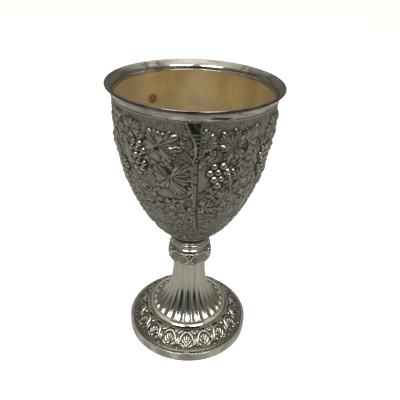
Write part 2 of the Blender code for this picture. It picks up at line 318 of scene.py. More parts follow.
def bunch(relief, angle, level, rows, radius, lift, lean):
    """A bunch of grapes that hangs from a point, with this many berries in each row."""
    spacing = 2.06 * radius
    top = relief.place(level)
    places = []
    for row, count in enumerate(rows):
        for column in range(count):
            wobble = math.sin(7.3 * row + 4.1 * column + angle)
            right = (column - (count - 1) / 2) * spacing + lean * row * spacing + 0.3 * wobble
            up = -row * spacing * 0.86 + 0.4 * math.cos(5.9 * column + row)
            places.append((angle + relief.angle_of(right, top + up), top + up, 0.93 + 0.09 * wobble))
    for berry_angle, place, size in places:
        where, right, up = relief.patch(berry_angle, place, 1.6 * radius)
        near = step(1.6 * radius - np.hypot(right, up), 0.5 * radius)
        relief.height[where] = np.minimum(relief.height[where], 0.06 + 2 * (1 - near))
    for berry_angle, place, size in places:
        berry(relief, berry_angle, place, radius * size, lift * size)


def small_leaves(relief, low, high, spacing, lift):
    """Low leaves strewn behind the others, between two levels."""
    rng = np.random.default_rng(17)
    for level in np.arange(low, high, 0.8 * spacing):
        radius = np.interp(relief.place(level), relief.along, relief.radius)
        across = max(3, round(math.radians(relief.repeat) * radius / spacing))
        for column in range(across):
            angle = (column + rng.uniform(-0.4, 0.4)) * relief.repeat / across
            place = relief.place(level + rng.uniform(-0.35, 0.35) * spacing)
            aim = rng.uniform(0, 360)
            length = spacing * rng.uniform(0.55, 0.95)
            for turn in (-62, 62, 0):
                fingers = int(rng.integers(2, 5))
                lobe(relief, angle, place, aim + turn, length * (1 - abs(turn) / 260), fingers, lift)


def plain_patch(relief, angle, level, width, height):
    """Clears an oval of the background back to smooth ground."""
    place = relief.place(level)
    where, right, up = relief.patch(angle, place, max(width, height))
    inside = step(1 - (right / width) ** 2 - (up / height) ** 2, 0.12)
    relief.height[where] *= 1 - inside
    relief.matting[where] *= 1 - inside
    relief.polish[where] = np.maximum(relief.polish[where] * (1 - inside), 0.75 * inside)


# Vine leaves of the bowl, as (angle, level, lift, lobes), a lobe being (aim, length, fingers).
VINE_LEAVES = (
    (-43, 137, 0.60, ((150, 5.5, 2), (95, 5.0, 2), (35, 6.0, 3), (-20, 5.0, 2), (-95, 4.5, 2))),
    (-22, 132.5, 0.85, ((33, 9.4, 3), (-4, 9.6, 3), (128, 8.0, 3),
                        (188, 7.0, 2), (-45, 8.5, 4), (80, 6.4, 2))),
    (-15, 118, 0.85, ((38, 9.6, 3), (-6, 9.2, 3), (-62, 10.4, 6),
                      (-125, 7.6, 3), (152, 8.2, 3), (190, 7.4, 2))),
    (-58, 138, 0.55, ((60, 5.0, 2), (120, 5.0, 2), (200, 5.0, 2), (-40, 5.4, 3))),
    (-66, 126, 0.65, ((80, 6.0, 3), (150, 6.0, 3), (215, 6.2, 3), (-60, 6.0, 3))),
    (-29, 103, 0.60, ((150, 6.4, 3), (205, 6.4, 3), (100, 5.0, 2), (-60, 6.0, 3), (20, 4.5, 2))),
    (-14, 102.5, 0.60, ((70, 3.8, 2), (150, 4.4, 2), (-20, 5.0, 3), (-100, 5.0, 3))),
    (-3, 97.5, 0.65, ((60, 4.6, 2), (150, 5.0, 3), (0, 3.6, 2), (-140, 5.4, 3), (-70, 6.0, 3))),
    (-50, 101, 0.55, ((140, 6.0, 3), (60, 5.6, 3), (-20, 5.4, 3), (-110, 6.0, 3))),
    (8, 135.5, 0.75, ((95, 5.6, 3), (42, 4.8, 2), (150, 3.6, 2), (-20, 5.0, 3), (-75, 4.6, 2))),
    (26, 132.5, 0.85, ((128, 8.6, 3), (88, 8.0, 3), (40, 7.0, 3),
                       (172, 6.4, 3), (-118, 6.6, 4), (-50, 7.4, 3))),
    (37, 133.5, 0.75, ((50, 8.6, 4), (105, 6.6, 3), (-10, 5.4, 2), (-70, 6.4, 3))),
    (33, 116, 0.75, ((35, 6.6, 3), (88, 6.4, 3), (-32, 6.6, 4), (168, 5.4, 3), (-95, 5.6, 3))),
    (24, 105, 0.65, ((120, 6.2, 3), (60, 6.6, 3), (0, 7.0, 3), (-70, 6.0, 3), (-150, 5.4, 3))),
    (10, 101, 0.65, ((110, 5.0, 3), (35, 5.4, 3), (-40, 5.6, 3), (-110, 5.0, 2))),
    (43, 104, 0.60, ((60, 6.6, 3), (120, 5.6, 3), (-10, 6.0, 3), (-85, 6.4, 3))),
    (63, 136, 0.65, ((110, 6.0, 3), (50, 6.4, 3), (-15, 6.2, 3), (-90, 6.0, 3), (180, 5.4, 3))),
    (80, 133, 0.70, ((100, 7.0, 3), (30, 7.0, 3), (-35, 7.0, 4), (165, 6.8, 3), (-110, 6.6, 3))),
    (70, 109, 0.65, ((90, 6.4, 3), (20, 6.4, 3), (160, 6.0, 3), (-50, 6.6, 3), (-130, 6.0, 3))),
    (-80, 106, 0.60, ((90, 6.0, 3), (20, 6.4, 3), (160, 6.0, 3), (-50, 6.4, 3), (-130, 6.0, 3))),
)

# Bunches of grapes, as (angle, level, berries in each row, size, lean).
GRAPES = (
    (-39, 130.6, (2, 3, 2, 3, 2, 1), 1.08, 0.02),
    (17.5, 123.4, (2, 3, 2, 1), 1.18, -0.02),
    (27, 120.5, (1, 2, 1), 0.80, 0.0),
    (56, 127.0, (2, 3, 2, 3, 2, 1), 1.04, 0.06),
    (-58, 118.5, (2, 3, 2, 1), 1.0, 0.0),
    (-88, 124.0, (3, 4, 3, 2, 1), 1.04, 0.0),
)

# Stalks and tendrils, as (points, half width, lift, spacing of beads or 0).
STALKS = (
    (((4.2, 124), (6.5, 127), (9.5, 128.4), (12.5, 128.8), (13.5, 131)), 0.55, 0.55, 0),
    (((4.5, 108.8), (8, 110.0), (11.5, 111.3), (15, 112.8)), 0.42, 0.50, 0.95),
    (((22, 112), (26, 113.6), (29, 115.2), (31.5, 117)), 0.36, 0.45, 0.95),
    (((28, 121.5), (31, 123.2), (34, 124.8)), 0.34, 0.45, 0.95),
    (((14, 140.2), (17, 141.0), (19, 142.3)), 0.30, 0.40, 0.9),
    (((-5, 131), (-2.5, 129), (0, 127)), 0.40, 0.45, 0),
    (((-26.5, 124.6), (-23.5, 122.6), (-20.5, 121.2)), 0.34, 0.42, 0.9),
    (((-8, 105), (-3, 106.2), (0.5, 108), (1.6, 112)), 0.40, 0.40, 0),
    (((3.6, 94), (1.0, 91.5), (-2.5, 90.6), (-5.5, 92)), 0.50, 0.45, 0),
    (((3.2, 86), (5.5, 89), (9.5, 91.0), (14, 91.6)), 0.45, 0.40, 0),
    (((-38, 109), (-34, 107.4), (-31, 108.6), (-33.5, 110.4), (-36, 109.4)), 0.34, 0.40, 0),
    (((-48, 128), (-51, 131), (-55, 131.5), (-57, 128.5), (-54.5, 127)), 0.34, 0.42, 0),
    (((48, 134), (51, 131.2), (54, 131.8), (55.5, 134.6), (53, 136.2)), 0.34, 0.42, 0),
    (((68, 124), (71, 121.5), (75, 121), (78, 123.5), (75.5, 125.6)), 0.36, 0.42, 0),
    (((-70, 116), (-73, 113.5), (-77, 113.5), (-79.5, 116.5), (-76.5, 118.2)), 0.36, 0.42, 0),
)

# Smooth ground that shows between the leaves, as (angle, level, half width, half height).
PLAIN_PATCHES = (
    (-17, 107, 6.8, 3.0),
    (-32, 92.5, 3.0, 3.4),
    (-25, 127, 3.2, 2.2),
    (-50, 121, 2.4, 6.4),
    (49, 124.5, 2.2, 5.4),
    (6.8, 117, 2.2, 6.0),
    (6.5, 93, 2.0, 4.2),
    (52, 96, 3.0, 3.0),
    (38, 95, 2.0, 2.2),
)

# Edges of the vine's trunk, as the angle at each level, and the levels of its rungs and knots.
TRUNK_LEVELS = (70, 80, 88, 95, 105, 115, 125, 130, 135, 140, 145)
TRUNK_LEFT = (2.5, 4.0, 3.6, 2.4, 1.5, 0.4, 0.4, 1.5, 1.0, -2.5, -5.5)
TRUNK_RIGHT = (6.5, 7.0, 6.4, 4.6, 4.0, 3.6, 3.6, 4.2, 4.2, 4.4, 5.2)
RUNG_LEVELS = (139.0, 137.3, 135.5, 133.5, 131.4, 129.0)
KNOT_LEVELS = (126.3, 120.4, 115.0)


def trunk(relief):
    """The vine's trunk over the seam: a forked hollow with rungs above, and a ribbed strip below."""
    level = relief.level[:, None]
    turn = relief.turn(0)[None, :]
    left = np.interp(level, TRUNK_LEVELS, TRUNK_LEFT)
    right = np.interp(level, TRUNK_LEVELS, TRUNK_RIGHT)
    spread = (turn - left) / (right - left)
    inside = (spread > 0) & (spread < 1)
    fork = step(level - 127.2, 1.2)
    groove = -0.42 * np.sin(np.pi * np.clip(spread, 0, 1)) ** 0.5
    open_fork = step(level - 139.5, 1.5)
    lean = 0.42 + 0.40 * np.clip((145 - level) / 6, 0, 1)
    fold = np.clip(1 - np.abs(spread - lean) * 5.5, 0, 1) * open_fork
    bark = 0.10 + 0.05 * np.cos(2 * math.pi * (1.5 * spread + 0.3 * np.sin(level * 0.7)))
    trunk_height = fork * (groove + 0.45 * fold) + (1 - fork) * bark
    relief.height = np.where(inside, trunk_height, relief.height)
    relief.matting *= ~inside
    relief.polish = np.where(inside, 0.9 * fork + 0.5 * (1 - fork), relief.polish)
    # Above the fork's opening, the fold and the right side of the groove keep less oxide: painted light.
    lit = fold + step(spread - lean, 0.1) * step(142.5 - level, 0.8)
    relief.oxide = np.where(inside, fork * (0.95 - 0.8 * np.clip(lit * open_fork, 0, 1)), relief.oxide)
    edge = relief.stroke(list(zip(TRUNK_LEFT, TRUNK_LEVELS)), 0.50)
    far_edge = relief.stroke(list(zip(TRUNK_RIGHT, TRUNK_LEVELS)), 0.42)
    relief.raise_to((0.20 + 0.42 * fork) * edge)
    relief.oxide *= edge < 0.3
    relief.height -= 0.40 * far_edge * (1 - fork)
    relief.oxide = np.maximum(relief.oxide, far_edge * (1 - fork) * (level > 84))
    relief.raise_to(0.30 * far_edge * fork)
    for rung in RUNG_LEVELS:
        start = np.interp(rung, TRUNK_LEVELS, TRUNK_LEFT)
        mark = relief.stroke([(start, rung), (4.2, rung - 0.15)], 0.36)
        relief.raise_to(0.30 * mark - 9 * (mark == 0))
        relief.oxide *= 1 - 0.8 * mark
    for knot in KNOT_LEVELS:
        start, end = (np.interp(knot, TRUNK_LEVELS, side) for side in (TRUNK_LEFT, TRUNK_RIGHT))
        mark = relief.stroke([(start + 0.4, knot + 0.4), ((start + end) / 2, knot - 0.4), (end, knot)], 0.4)
        relief.height -= 0.26 * mark
        relief.oxide = np.maximum(relief.oxide, mark)


def vine(settings):
    """The embossed pattern of the bowl, one half of the way round."""
    relief = Relief(bowl_outline(settings), 180, 0.18)
    top, low = relief.level[-1], relief.level[0]
    relief.height -= 0.12
    relief.matting[:] = step(relief.level - 137, 4)[:, None]
    small_leaves(relief, low + 8, top - 7, 5.3, 0.42)
    tips = 11
    for i in range(tips):
        lobe(relief, (i + 0.5) * relief.repeat / tips, relief.place(low + 1.9), 90, 9, 3, 0.42, 17)
    for patch in PLAIN_PATCHES:
        plain_patch(relief, *patch)
    for angle, level, lift, lobes in VINE_LEAVES:
        grown = [(aim, 1.1 * length, fingers) for aim, length, fingers in lobes]
        leaf(relief, angle, level, grown, lift)
    for points, width, lift, beads in STALKS:
        mark = relief.stroke(points, width, beads)
        relief.raise_to(lift * mark)
        relief.polish = np.maximum(relief.polish, mark > 0.2)
    for angle, level, rows, size, lean in GRAPES:
        bunch(relief, angle, level, rows, size * settings.berry / MM, 1.2, lean)
    trunk(relief)
    fade = step(top - 0.9 - relief.level, 0.7) * step(relief.level - low - 1.6, 1.2)
    rim = 0.42 * hump(relief.level - low - 0.9, 0.7) + 0.26 * hump(relief.level - top + 0.55, 0.42)
    relief.height = relief.height * fade[:, None] * settings.depth + rim[:, None]
    smooth = (step(relief.level - top + 1.3, 0.4) + step(low + 1.7 - relief.level, 0.3))[:, None]
    relief.matting *= 1 - smooth
    relief.oxide *= 1 - smooth
    relief.polish = np.maximum(relief.polish, smooth)
    return relief


def leaf_border(relief, lift):
    """One arched leaf of the foot's border, with a spear, a drop and a bud between it and the next."""
    length = relief.along[-1]
    rim, root, tip = 0.10 * length, 0.20 * length, 1.04 * length
    half = 4.9
    high = tip - root
    place = relief.along[:, None]
    right = relief.radius[:, None] * np.radians(relief.turn(0))[None, :]
    relief.matting[:] = step(root + 0.6 - relief.along, 0.8)[:, None]
    relief.height -= 0.10
    out = np.hypot(right / half, (place - root) / high)
    arch = hump(out - 0.87, 0.12) * (place > root)
    angle = np.degrees(np.arctan2(place - root, right / half * high))
    fan = 0.5 + 0.5 * np.cos(np.radians((angle - 90) * 360 / 26))
    body = step(0.76 - out, 0.10) * (place > root) * (0.30 + 0.70 * fan * step(out - 0.10, 0.2))
    heart = pebble(right / 0.75, (place - root - 1.1) / 1.3)
    relief.raise_to(lift * (0.85 * arch + 0.80 * body))
    relief.raise_to(lift * 1.15 * heart)
    side = relief.radius[:, None] * np.radians(relief.turn(relief.repeat / 2))[None, :]
    rise = np.clip((place - root) / (0.66 * high), 0, 1)
    spear = np.sin(np.pi * rise**0.8) ** 0.8
    blade = step(spear - np.abs(side), 0.3) * (1 - 0.5 * np.clip(1 - np.abs(side) / 0.28, 0, 1))
    relief.raise_to(lift * 0.95 * blade)
    relief.raise_to(lift * 0.8 * pebble(side / 0.6, (place - root + 0.35) / 0.5))
    relief.raise_to(lift * 0.75 * pebble(side / 0.95, (place - root - 0.80 * high) / 1.1))
    relief.height -= 0.18 * hump(place - rim, 0.18)
    relief.height *= step(length - relief.along, 0.4)[:, None]
    relief.polish[:] = np.maximum(0.3, step(relief.height, 0.3))


# ------------------------------------------------------------------------------------ mesh helpers


def spun(outline, steps, along=None, first=0.0, sweep=360.0, closed=True):
    """An outline turned about Z from an angle. Each vertex keeps its place along the relief."""
    places = [PLAIN] * len(outline) if along is None else list(along)
    points = list(outline)
    if closed:
        points.append(points[0])
        places.append(places[0])
    rows = len(points) - 1
    bm = bmesh.new()
    layer = bm.verts.layers.float.new("along")
    bmesh.ops.create_grid(bm, x_segments=steps, y_segments=rows, size=1)
    for vert in bm.verts:
        angle = math.radians(first + sweep * (vert.co.x + 1) / 2)
        row = round((vert.co.y + 1) / 2 * rows)
        radius, level = points[row]
        vert.co = (radius * MM * math.sin(angle), -radius * MM * math.cos(angle), level * MM)
        vert[layer] = places[row]
    bmesh.ops.remove_doubles(bm, verts=bm.verts, dist=1e-7)
    ends = [edge for edge in bm.edges if edge.is_boundary]
    if ends:
        bmesh.ops.holes_fill(bm, edges=ends, sides=0)
    bmesh.ops.recalc_face_normals(bm, faces=bm.faces)
    return bm


def piece(name, bm, material, slot, *nodes, sharp=35.0):
    """The bmesh as a finished piece of the cup that stands for CAD nodes."""
    mesh = bpy.data.meshes.new(name)
    bm.to_mesh(mesh)
    bm.free()
    mesh.shade_smooth()
    mesh.set_sharp_from_angle(angle=math.radians(sharp))
    mesh.materials.append(material)
    made = bpy.data.objects.new(name, mesh)
    bpy.context.scene.collection.objects.link(made)
    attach(made, "root")
    if nodes:
        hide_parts(*nodes)
    return made


def positions(mesh):
    """The mesh's vertices, in mm."""
    flat = np.zeros(len(mesh.vertices) * 3)
    mesh.vertices.foreach_get("co", flat)
    return flat.reshape(-1, 3) / MM


def move(mesh, points):
    """Puts the mesh's vertices at points in mm."""
    mesh.vertices.foreach_set("co", (points * MM).ravel())
    mesh.update()


def bearings(points):
    """The angle of each point round the cup, in radians."""
    return np.arctan2(points[:, 0], -points[:, 1])


def radii(points):
    """How far each point lies from the cup's axis."""
    return np.hypot(points[:, 0], points[:, 1])


def places_along(mesh):
    """The place of each vertex along the outline that it was turned from, or PLAIN."""
    places = np.zeros(len(mesh.vertices))
    mesh.attributes["along"].data.foreach_get("value", places)
    return places


def keep_values(mesh, name, values):
    """Stores a value for each vertex, for the material to read."""
    attribute = mesh.attributes.new(name, "FLOAT", "POINT")
    attribute.data.foreach_set("value", values.astype(np.float32))


def emboss(made, relief, outline):
    """Raises the relief on the vertices that have a place along it, square to the outline there."""
    mesh = made.data
    points = positions(mesh)
    along = places_along(mesh)
    angle = np.degrees(bearings(points))
    embossed = along >= 0
    places = distances(outline)
    tangent = directions(outline)
    out = np.interp(along, places, tangent[:, 1])
    up = np.interp(along, places, -tangent[:, 0])
    height = relief.sample(relief.height, angle, along) * embossed
    radius = radii(points)
    points[:, :2] *= ((radius + height * out) / np.maximum(radius, 1e-6))[:, None]
    points[:, 2] += height * up
    move(mesh, points)
    keep_values(mesh, "rubbed", relief.sample(relief.rubbed(), angle, along) * embossed)
    keep_values(mesh, "hollow", relief.sample(relief.tarnish(), angle, along) * embossed)
    keep_values(mesh, "matting", relief.sample(relief.matting, angle, along) * embossed)
    keep_values(mesh, "polish", np.where(embossed, relief.sample(relief.polish, angle, along), 1))


def around(made, angle, level):
    """How far each vertex lies, in mm, from a point on a turned piece."""
    points = positions(made.data)
    across = np.radians(short_way(np.degrees(bearings(points)) - angle)) * radii(points)
    return np.hypot(across, points[:, 2] - level)


def dents(made, depth, seed, turns):
    """Slow waves round a piece, as hand work leaves. They only ever go inwards, and fade near the axis."""
    points = positions(made.data)
    angle, radius = bearings(points), radii(points)
    wave = np.zeros(len(points))
    rng = np.random.default_rng(seed)
    for each in turns:
        shift, tilt = rng.uniform(0, math.tau), rng.uniform(-0.03, 0.03)
        wave += (np.sin(each * angle + tilt * points[:, 2] + shift) - 1) / each
    scale = 1 + depth * wave / np.maximum(radius, 1) * step(radius / radius.max() - 0.45, 0.3)
    points[:, :2] *= scale[:, None]
    move(made.data, points)


# --------------------------------------------------------------------------------------- materials


class Value:
    """A socket in an expression. Arithmetic on it adds Math nodes."""

    def __init__(self, shader, socket):
        self.shader = shader
        self.socket = socket

    def __add__(self, other):
        return self.shader.math("ADD", self, other)

    def __sub__(self, other):
        return self.shader.math("SUBTRACT", self, other)

    def __rsub__(self, other):
        return self.shader.math("SUBTRACT", other, self)

    def __mul__(self, other):
        return self.shader.math("MULTIPLY", self, other)

    __radd__ = __add__
    __rmul__ = __mul__


class Shader:
    """The nodes of a material or of the room, made by calls and expressions."""

    def __init__(self, name, room=False):
        self.material = (bpy.data.worlds if room else bpy.data.materials).new(name)
        self.material.use_nodes = True
        self.nodes = self.material.node_tree.nodes
        self.links = self.material.node_tree.links
        self.surface = self.nodes["Background" if room else "Principled BSDF"]

    def feed(self, socket, value):
        if isinstance(value, Value):
            self.links.new(value.socket, socket)
        else:
            socket.default_value = value

    def node(self, kind, settings=None, output=0, **inputs):
        """A node of this kind. Settings come first, and an input's name has _ for a space."""
        made = self.nodes.new(kind)
        for name, value in (settings or {}).items():
            if name == "stops":
                ramp = made.color_ramp
                while len(ramp.elements) < len(value):
                    ramp.elements.new(0.5)
                for element, (position, colour) in zip(ramp.elements, value):
                    element.position = position
                    element.color = colour
            else:
                setattr(made, name, value)
        for name, value in inputs.items():
            wanted = name.replace("_", " ")
            sockets = [socket for socket in made.inputs if socket.name == wanted and socket.enabled]
            self.feed(sockets[0], value)
        return Value(self, made.outputs[output])

    def math(self, operation, *values):
        made = self.nodes.new("ShaderNodeMath")
        made.operation = operation
        for socket, value in zip(made.inputs, values):
            self.feed(socket, value)
        return Value(self, made.outputs[0])

    def mix(self, factor, first, second):
        """Two colours mixed by a factor."""
        return self.node("ShaderNodeMix", {"data_type": "RGBA"}, 2, Factor=factor, A=first, B=second)

    def between(self, value, low, high):
        """0 where the value is low and 1 where it is high, with a smooth rise."""
        settings = {"interpolation_type": "SMOOTHSTEP"}
        names = {"From_Min": low, "From_Max": high}
        return self.node("ShaderNodeMapRange", settings, Value=value, **names)

    def place(self, stretch=(1, 1, 1)):
        """Object coordinates, stretched."""
        coordinates = self.node("ShaderNodeTexCoord", output=3)
        return self.node("ShaderNodeMapping", Vector=coordinates, Scale=stretch)

    def noise(self, scale, detail=3.0, stretch=(1, 1, 1), distortion=0.0):
        place = self.place(stretch)
        values = {"Vector": place, "Scale": scale, "Detail": detail, "Distortion": distortion}
        return self.node("ShaderNodeTexNoise", **values)

    def cells(self, scale):
        return self.node("ShaderNodeTexVoronoi", Vector=self.place(), Scale=scale)

    def stored(self, name):
        """A value kept on the mesh's vertices."""
        return self.node("ShaderNodeAttribute", {"attribute_name": name}, 2)

    def clouded(self, clouds, low, high, base, share):
        """The base colour, darkened to this share of itself as the clouds go from low to high."""
        return self.mix(self.between(clouds, low, high), with_alpha(base), darkened(base, share))

    def bump(self, height, distance, strength):
        return self.node("ShaderNodeBump", Height=height, Distance=distance, Strength=strength)

    def finish(self, **inputs):
        """Feeds the surface's sockets and gives the material."""
        for name, value in inputs.items():
            self.feed(self.surface.inputs[name.replace("_", " ")], value)
        return self.material

    def metal(self, colour, rough, normal, metallic=1.0):
        """The finished material of a metal."""
        return self.finish(Base_Color=colour, Metallic=metallic, Roughness=rough, Normal=normal)


def with_alpha(colour):
    return (*colour, 1.0)


def darkened(colour, share):
    return (*(channel * share for channel in colour), 1.0)


def worn_silver(settings):
    """Worn polished silver: faint clouds of tarnish, smears from wiping and fine scratches."""
    shader = Shader("worn_silver")
    clouds = shader.noise(55, 4, distortion=0.6)
    spots = shader.between(shader.noise(260, 3), 0.66, 0.74)
    smears = shader.noise(30, 3, (1, 1, 3))
    scratches = shader.noise(900, 2, (1, 1, 0.08))
    colour = shader.clouded(clouds, 0.42, 0.70, settings.silver, 0.80)
    colour = shader.mix(spots * 0.5, colour, with_alpha(settings.tarnish))
    rough = shader.between(smears, 0.3, 0.8) * 0.10 + 0.07 + spots * 0.15
    return shader.metal(colour, rough, shader.bump(scratches, 0.00002, 0.25))


def lip_silver(settings):
    """Polished silver with brown and purple tarnish in blotches and along the rolled edge."""
    shader = Shader("lip_silver")
    clouds = shader.noise(48, 5, distortion=1.0)
    edge, stained = shader.stored("edge"), shader.stored("stain")
    blotches = shader.between(shader.noise(420, 5, distortion=1.2) + stained * 0.30, 0.60, 0.92)
    silver = darkened(settings.silver, 0.88)
    colour = shader.mix(shader.between(clouds, 0.40, 0.72), silver, darkened(settings.silver, 0.66))
    brown, purple = with_alpha(settings.tarnish), (0.10, 0.065, 0.085, 1)
    stain = shader.mix(shader.between(shader.noise(90, 3), 0.40, 0.62), brown, purple)
    worn = shader.noise(120, 4)
    colour = shader.mix(blotches * 0.8, colour, stain)
    dark_edge = edge * (shader.between(worn, 0.30, 0.60) * 0.35 + 0.65)
    colour = shader.mix(dark_edge, colour, shader.mix(0.5, stain, with_alpha(settings.recess)))
    rough = shader.between(clouds, 0.3, 0.8) * 0.08 + 0.07 + blotches * 0.14
    return shader.metal(colour, rough, shader.bump(shader.noise(300, 3), 0.00003, 0.3))


def embossed_bright(settings):
    """Polished silver whose hollows have gone dark with oxide; on the seat, the dark band in the cove is a
    painted dark reflection.
    """
    shader = Shader("embossed_bright")
    hollow = shader.stored("hollow")
    clouds = shader.noise(90, 4)
    depth = hollow + (shader.noise(500, 3) - 0.5) * 0.3
    bright = shader.clouded(clouds, 0.4, 0.7, settings.silver, 0.8)
    colour = shader.mix(shader.between(depth, 0.22, 0.95), bright, with_alpha(settings.recess))
    rough = shader.between(clouds, 0.3, 0.7) * 0.08 + 0.10 + shader.between(depth, 0.1, 0.7) * 0.2
    return shader.metal(colour, rough, shader.bump(shader.noise(420, 3), 0.00004, 0.4))


def stem_silver(settings):
    """Polished silver with faint lines along the flutes, a shade darker on the ridges between them."""
    shader = Shader("stem_silver")
    clouds = shader.noise(60, 4, (1, 1, 0.4))
    lines = shader.noise(420, 3, (1, 1, 0.06))
    hollow = shader.stored("hollow")
    colour = shader.clouded(clouds, 0.4, 0.7, settings.silver, 0.84)
    colour = shader.mix(shader.between(hollow, 0.03, -0.08) * 0.25, colour, darkened(settings.silver, 0.6))
    rough = shader.between(clouds, 0.3, 0.7) * 0.08 + shader.between(lines, 0.4, 0.7) * 0.08 + 0.13
    return shader.metal(colour, rough, shader.bump(lines, 0.00003, 0.4))


def oxidised_silver(settings):
    """Oxidised silver: black in the hollows, rubbed bright on the high places, punched matt ground."""
    shader = Shader("oxidised_silver")
    worn, hollow = shader.stored("rubbed"), shader.stored("hollow")
    matting, polish = shader.stored("matting"), shader.stored("polish")
    clouds = shader.noise(70, 4, distortion=0.7)
    grain = shader.noise(1500, 3, (1, 1, 0.3), 0.8)
    rubbed = shader.clouded(clouds, 0.35, 0.75, settings.embossed, 0.8)
    patchy = shader.between(shader.noise(240, 4), 0.36, 0.60)
    rubbed = shader.mix(worn * (patchy * 0.75 + 0.25), rubbed, with_alpha(settings.rubbed))
    hatched = shader.between(grain, 0.44, 0.62) * (1.1 - polish) * 0.55
    soot = shader.math("MAXIMUM", hollow, hatched)
    soot = shader.math("MAXIMUM", soot, matting * shader.between(grain, 0.35, 0.60) * 0.45)
    colour = shader.mix(soot, rubbed, with_alpha(settings.recess))
    rough = 0.40 - polish * 0.14 - worn * 0.10 + hollow * 0.14 + matting * 0.08
    return shader.metal(colour, rough, shader.bump(grain, 0.00012, 0.7))


def gilding(settings):
    """Gilt silver, worn pale in streaks, with a few dark spots, and with painted reflections: darker vertical
    bands, bright orange streaks and a paler stretch at the back.
    """
    shader = Shader("gilding")
    stain = shader.stored("stain")
    streaks = shader.noise(70, 3, (1, 1, 0.12), 0.4)
    clouds = shader.noise(60, 4)
    spots = 1.0 - shader.between(shader.cells(170), 0.05, 0.10)
    rare = shader.between(shader.noise(45, 2), 0.60, 0.66)
    gold, pale = with_alpha(settings.gilt), with_alpha(settings.worn_gilt)
    colour = shader.mix(shader.between(streaks, 0.40, 0.66), gold, pale)
    # Darker vertical bands: painted reflections.
    reflection_bands = shader.noise(38, 2, (1, 1, 0.06))
    colour = shader.mix(shader.between(reflection_bands, 0.44, 0.60) * 0.5, colour, darkened(settings.gilt, 0.70))
    colour = shader.mix(shader.between(clouds, 0.55, 0.78) * 0.25, colour, darkened(settings.gilt, 0.66))
    # A paler stretch at the back and bright orange streaks: painted reflections.
    colour = shader.mix(shader.stored("pale") * 0.65, colour, (0.97, 0.90, 0.74, 1))
    colour = shader.mix(shader.stored("streak"), colour, (1.0, 0.82, 0.36, 1))
    colour = shader.mix(shader.math("MAXIMUM", spots * rare, stain), colour, (0.20, 0.11, 0.03, 1))
    rough = shader.between(clouds, 0.3, 0.75) * 0.12 + 0.12 + spots * rare * 0.2
    return shader.metal(colour, rough, shader.bump(shader.noise(160, 3), 0.00005, 0.35), 0.88)


def dull_brass(settings):
    """Cast brass that has gone brown, with turning marks."""
    shader = Shader("dull_brass")
    clouds = shader.noise(80, 5)
    colour = shader.clouded(clouds, 0.35, 0.70, settings.brass, 0.45)
    marks = shader.noise(700, 3)
    rough = shader.between(clouds, 0.3, 0.7) * 0.2 + 0.28
    return shader.metal(colour, rough, shader.bump(marks, 0.00003, 0.5))


def spring_steel(settings):
    """Plated steel with a grey bloom."""
    shader = Shader("spring_steel")
    bloom = shader.noise(240, 4)
    colour = shader.clouded(bloom, 0.4, 0.7, settings.steel, 0.5)
    rough = shader.between(bloom, 0.3, 0.7) * 0.2 + 0.25
    return shader.metal(colour, rough, shader.bump(bloom, 0.00002, 0.4))


def material(kind):
    """The material that this function makes, made once."""
    made = bpy.data.materials.get(kind.__name__)
    return made or kind(bpy.context.scene.cup_finishes)


# ----------------------------------------------------------------------------------------- settings


def length(name, text, default):
    return bpy.props.FloatProperty(
        name=name, description=text, default=default, min=0, subtype="DISTANCE", unit="LENGTH", precision=5
    )


def colour(name, text, default):
    return bpy.props.FloatVectorProperty(
        name=name, description=text, default=default, size=3, subtype="COLOR", min=0, max=1
    )


def degrees(name, text, default):
    return bpy.props.FloatProperty(
        name=name, description=text, default=math.radians(default), subtype="ANGLE", unit="ROTATION"
    )


def factor(name, text, default):
    return bpy.props.FloatProperty(name=name, description=text, default=default, min=0)


def count(name, text, default):
    return bpy.props.IntProperty(name=name, description=text, default=default, min=1)


class CupBowlSettings(bpy.types.PropertyGroup):
    fullness: factor("Fullness", "How squarely the bowl turns into its mouth", 2.3)
    spring: factor("Spring", "How quickly the bowl widens above its seat", 0.8)
    depth: factor("Relief depth", "Share of the relief's full height", 1.15)
    berry: length("Berry radius", "Radius of one grape", 0.0015)
    wall: length("Wall", "Thickness of the embossed sheet", 0.0005)
    seam: degrees("Seam", "Angle of the seams between the wall's halves", 1.5)


class CupStemSettings(bpy.types.PropertyGroup):
    flutes: count("Flutes", "Hollow flutes round the stem", 24)
    flute_depth: length("Flute depth", "Depth of a flute at the stem's base", 0.0007)
    top_radius: length("Top radius", "Radius of the stem under the knop", 0.0091)
    waist: length("Waist", "Radius of the seat where it stands on the knop", 0.0102)
    shoulder: length("Shoulder", "Height of the knop above its widest place", 0.0068)
    undercut: length("Undercut", "Height of the knop's bulge below its widest place", 0.0026)
    reeds: count("Reeds", "Reeds round the knop", 5)
    ribbons: count("Ribbons", "Crossed ribbons round the knop", 6)


class CupFootSettings(bpy.types.PropertyGroup):
    leaves: count("Leaves", "Leaves of the border", 18)
    leaf_lift: length("Leaf lift", "How far the leaf border stands out", 0.0008)
    ledge: length("Ledge", "Inner radius of the ledge under the stem", 0.0185)


class CupFinishSettings(bpy.types.PropertyGroup):
    silver: colour("Silver", "Polished silver", (0.66, 0.64, 0.57))
    embossed: colour("Embossed silver", "Smooth ground of the embossed work", (0.45, 0.435, 0.375))
    rubbed: colour("Rubbed silver", "Highest places of the embossed work", (0.66, 0.64, 0.57))
    # The recess colour also paints the dark reflection in the seat's cove.
    recess: colour("Recess", "Oxide in the hollows", (0.060, 0.055, 0.044))
    tarnish: colour("Tarnish", "Brown tarnish on the lip", (0.17, 0.12, 0.085))
    gilt: colour("Gilt", "Full gilding", (0.93, 0.80, 0.54))
    worn_gilt: colour("Worn gilt", "Gilding worn thin", (0.93, 0.85, 0.68))
    brass: colour("Brass", "Rod, plate and nut", (0.62, 0.45, 0.20))
    steel: colour("Steel", "Lock washer", (0.50, 0.51, 0.52))


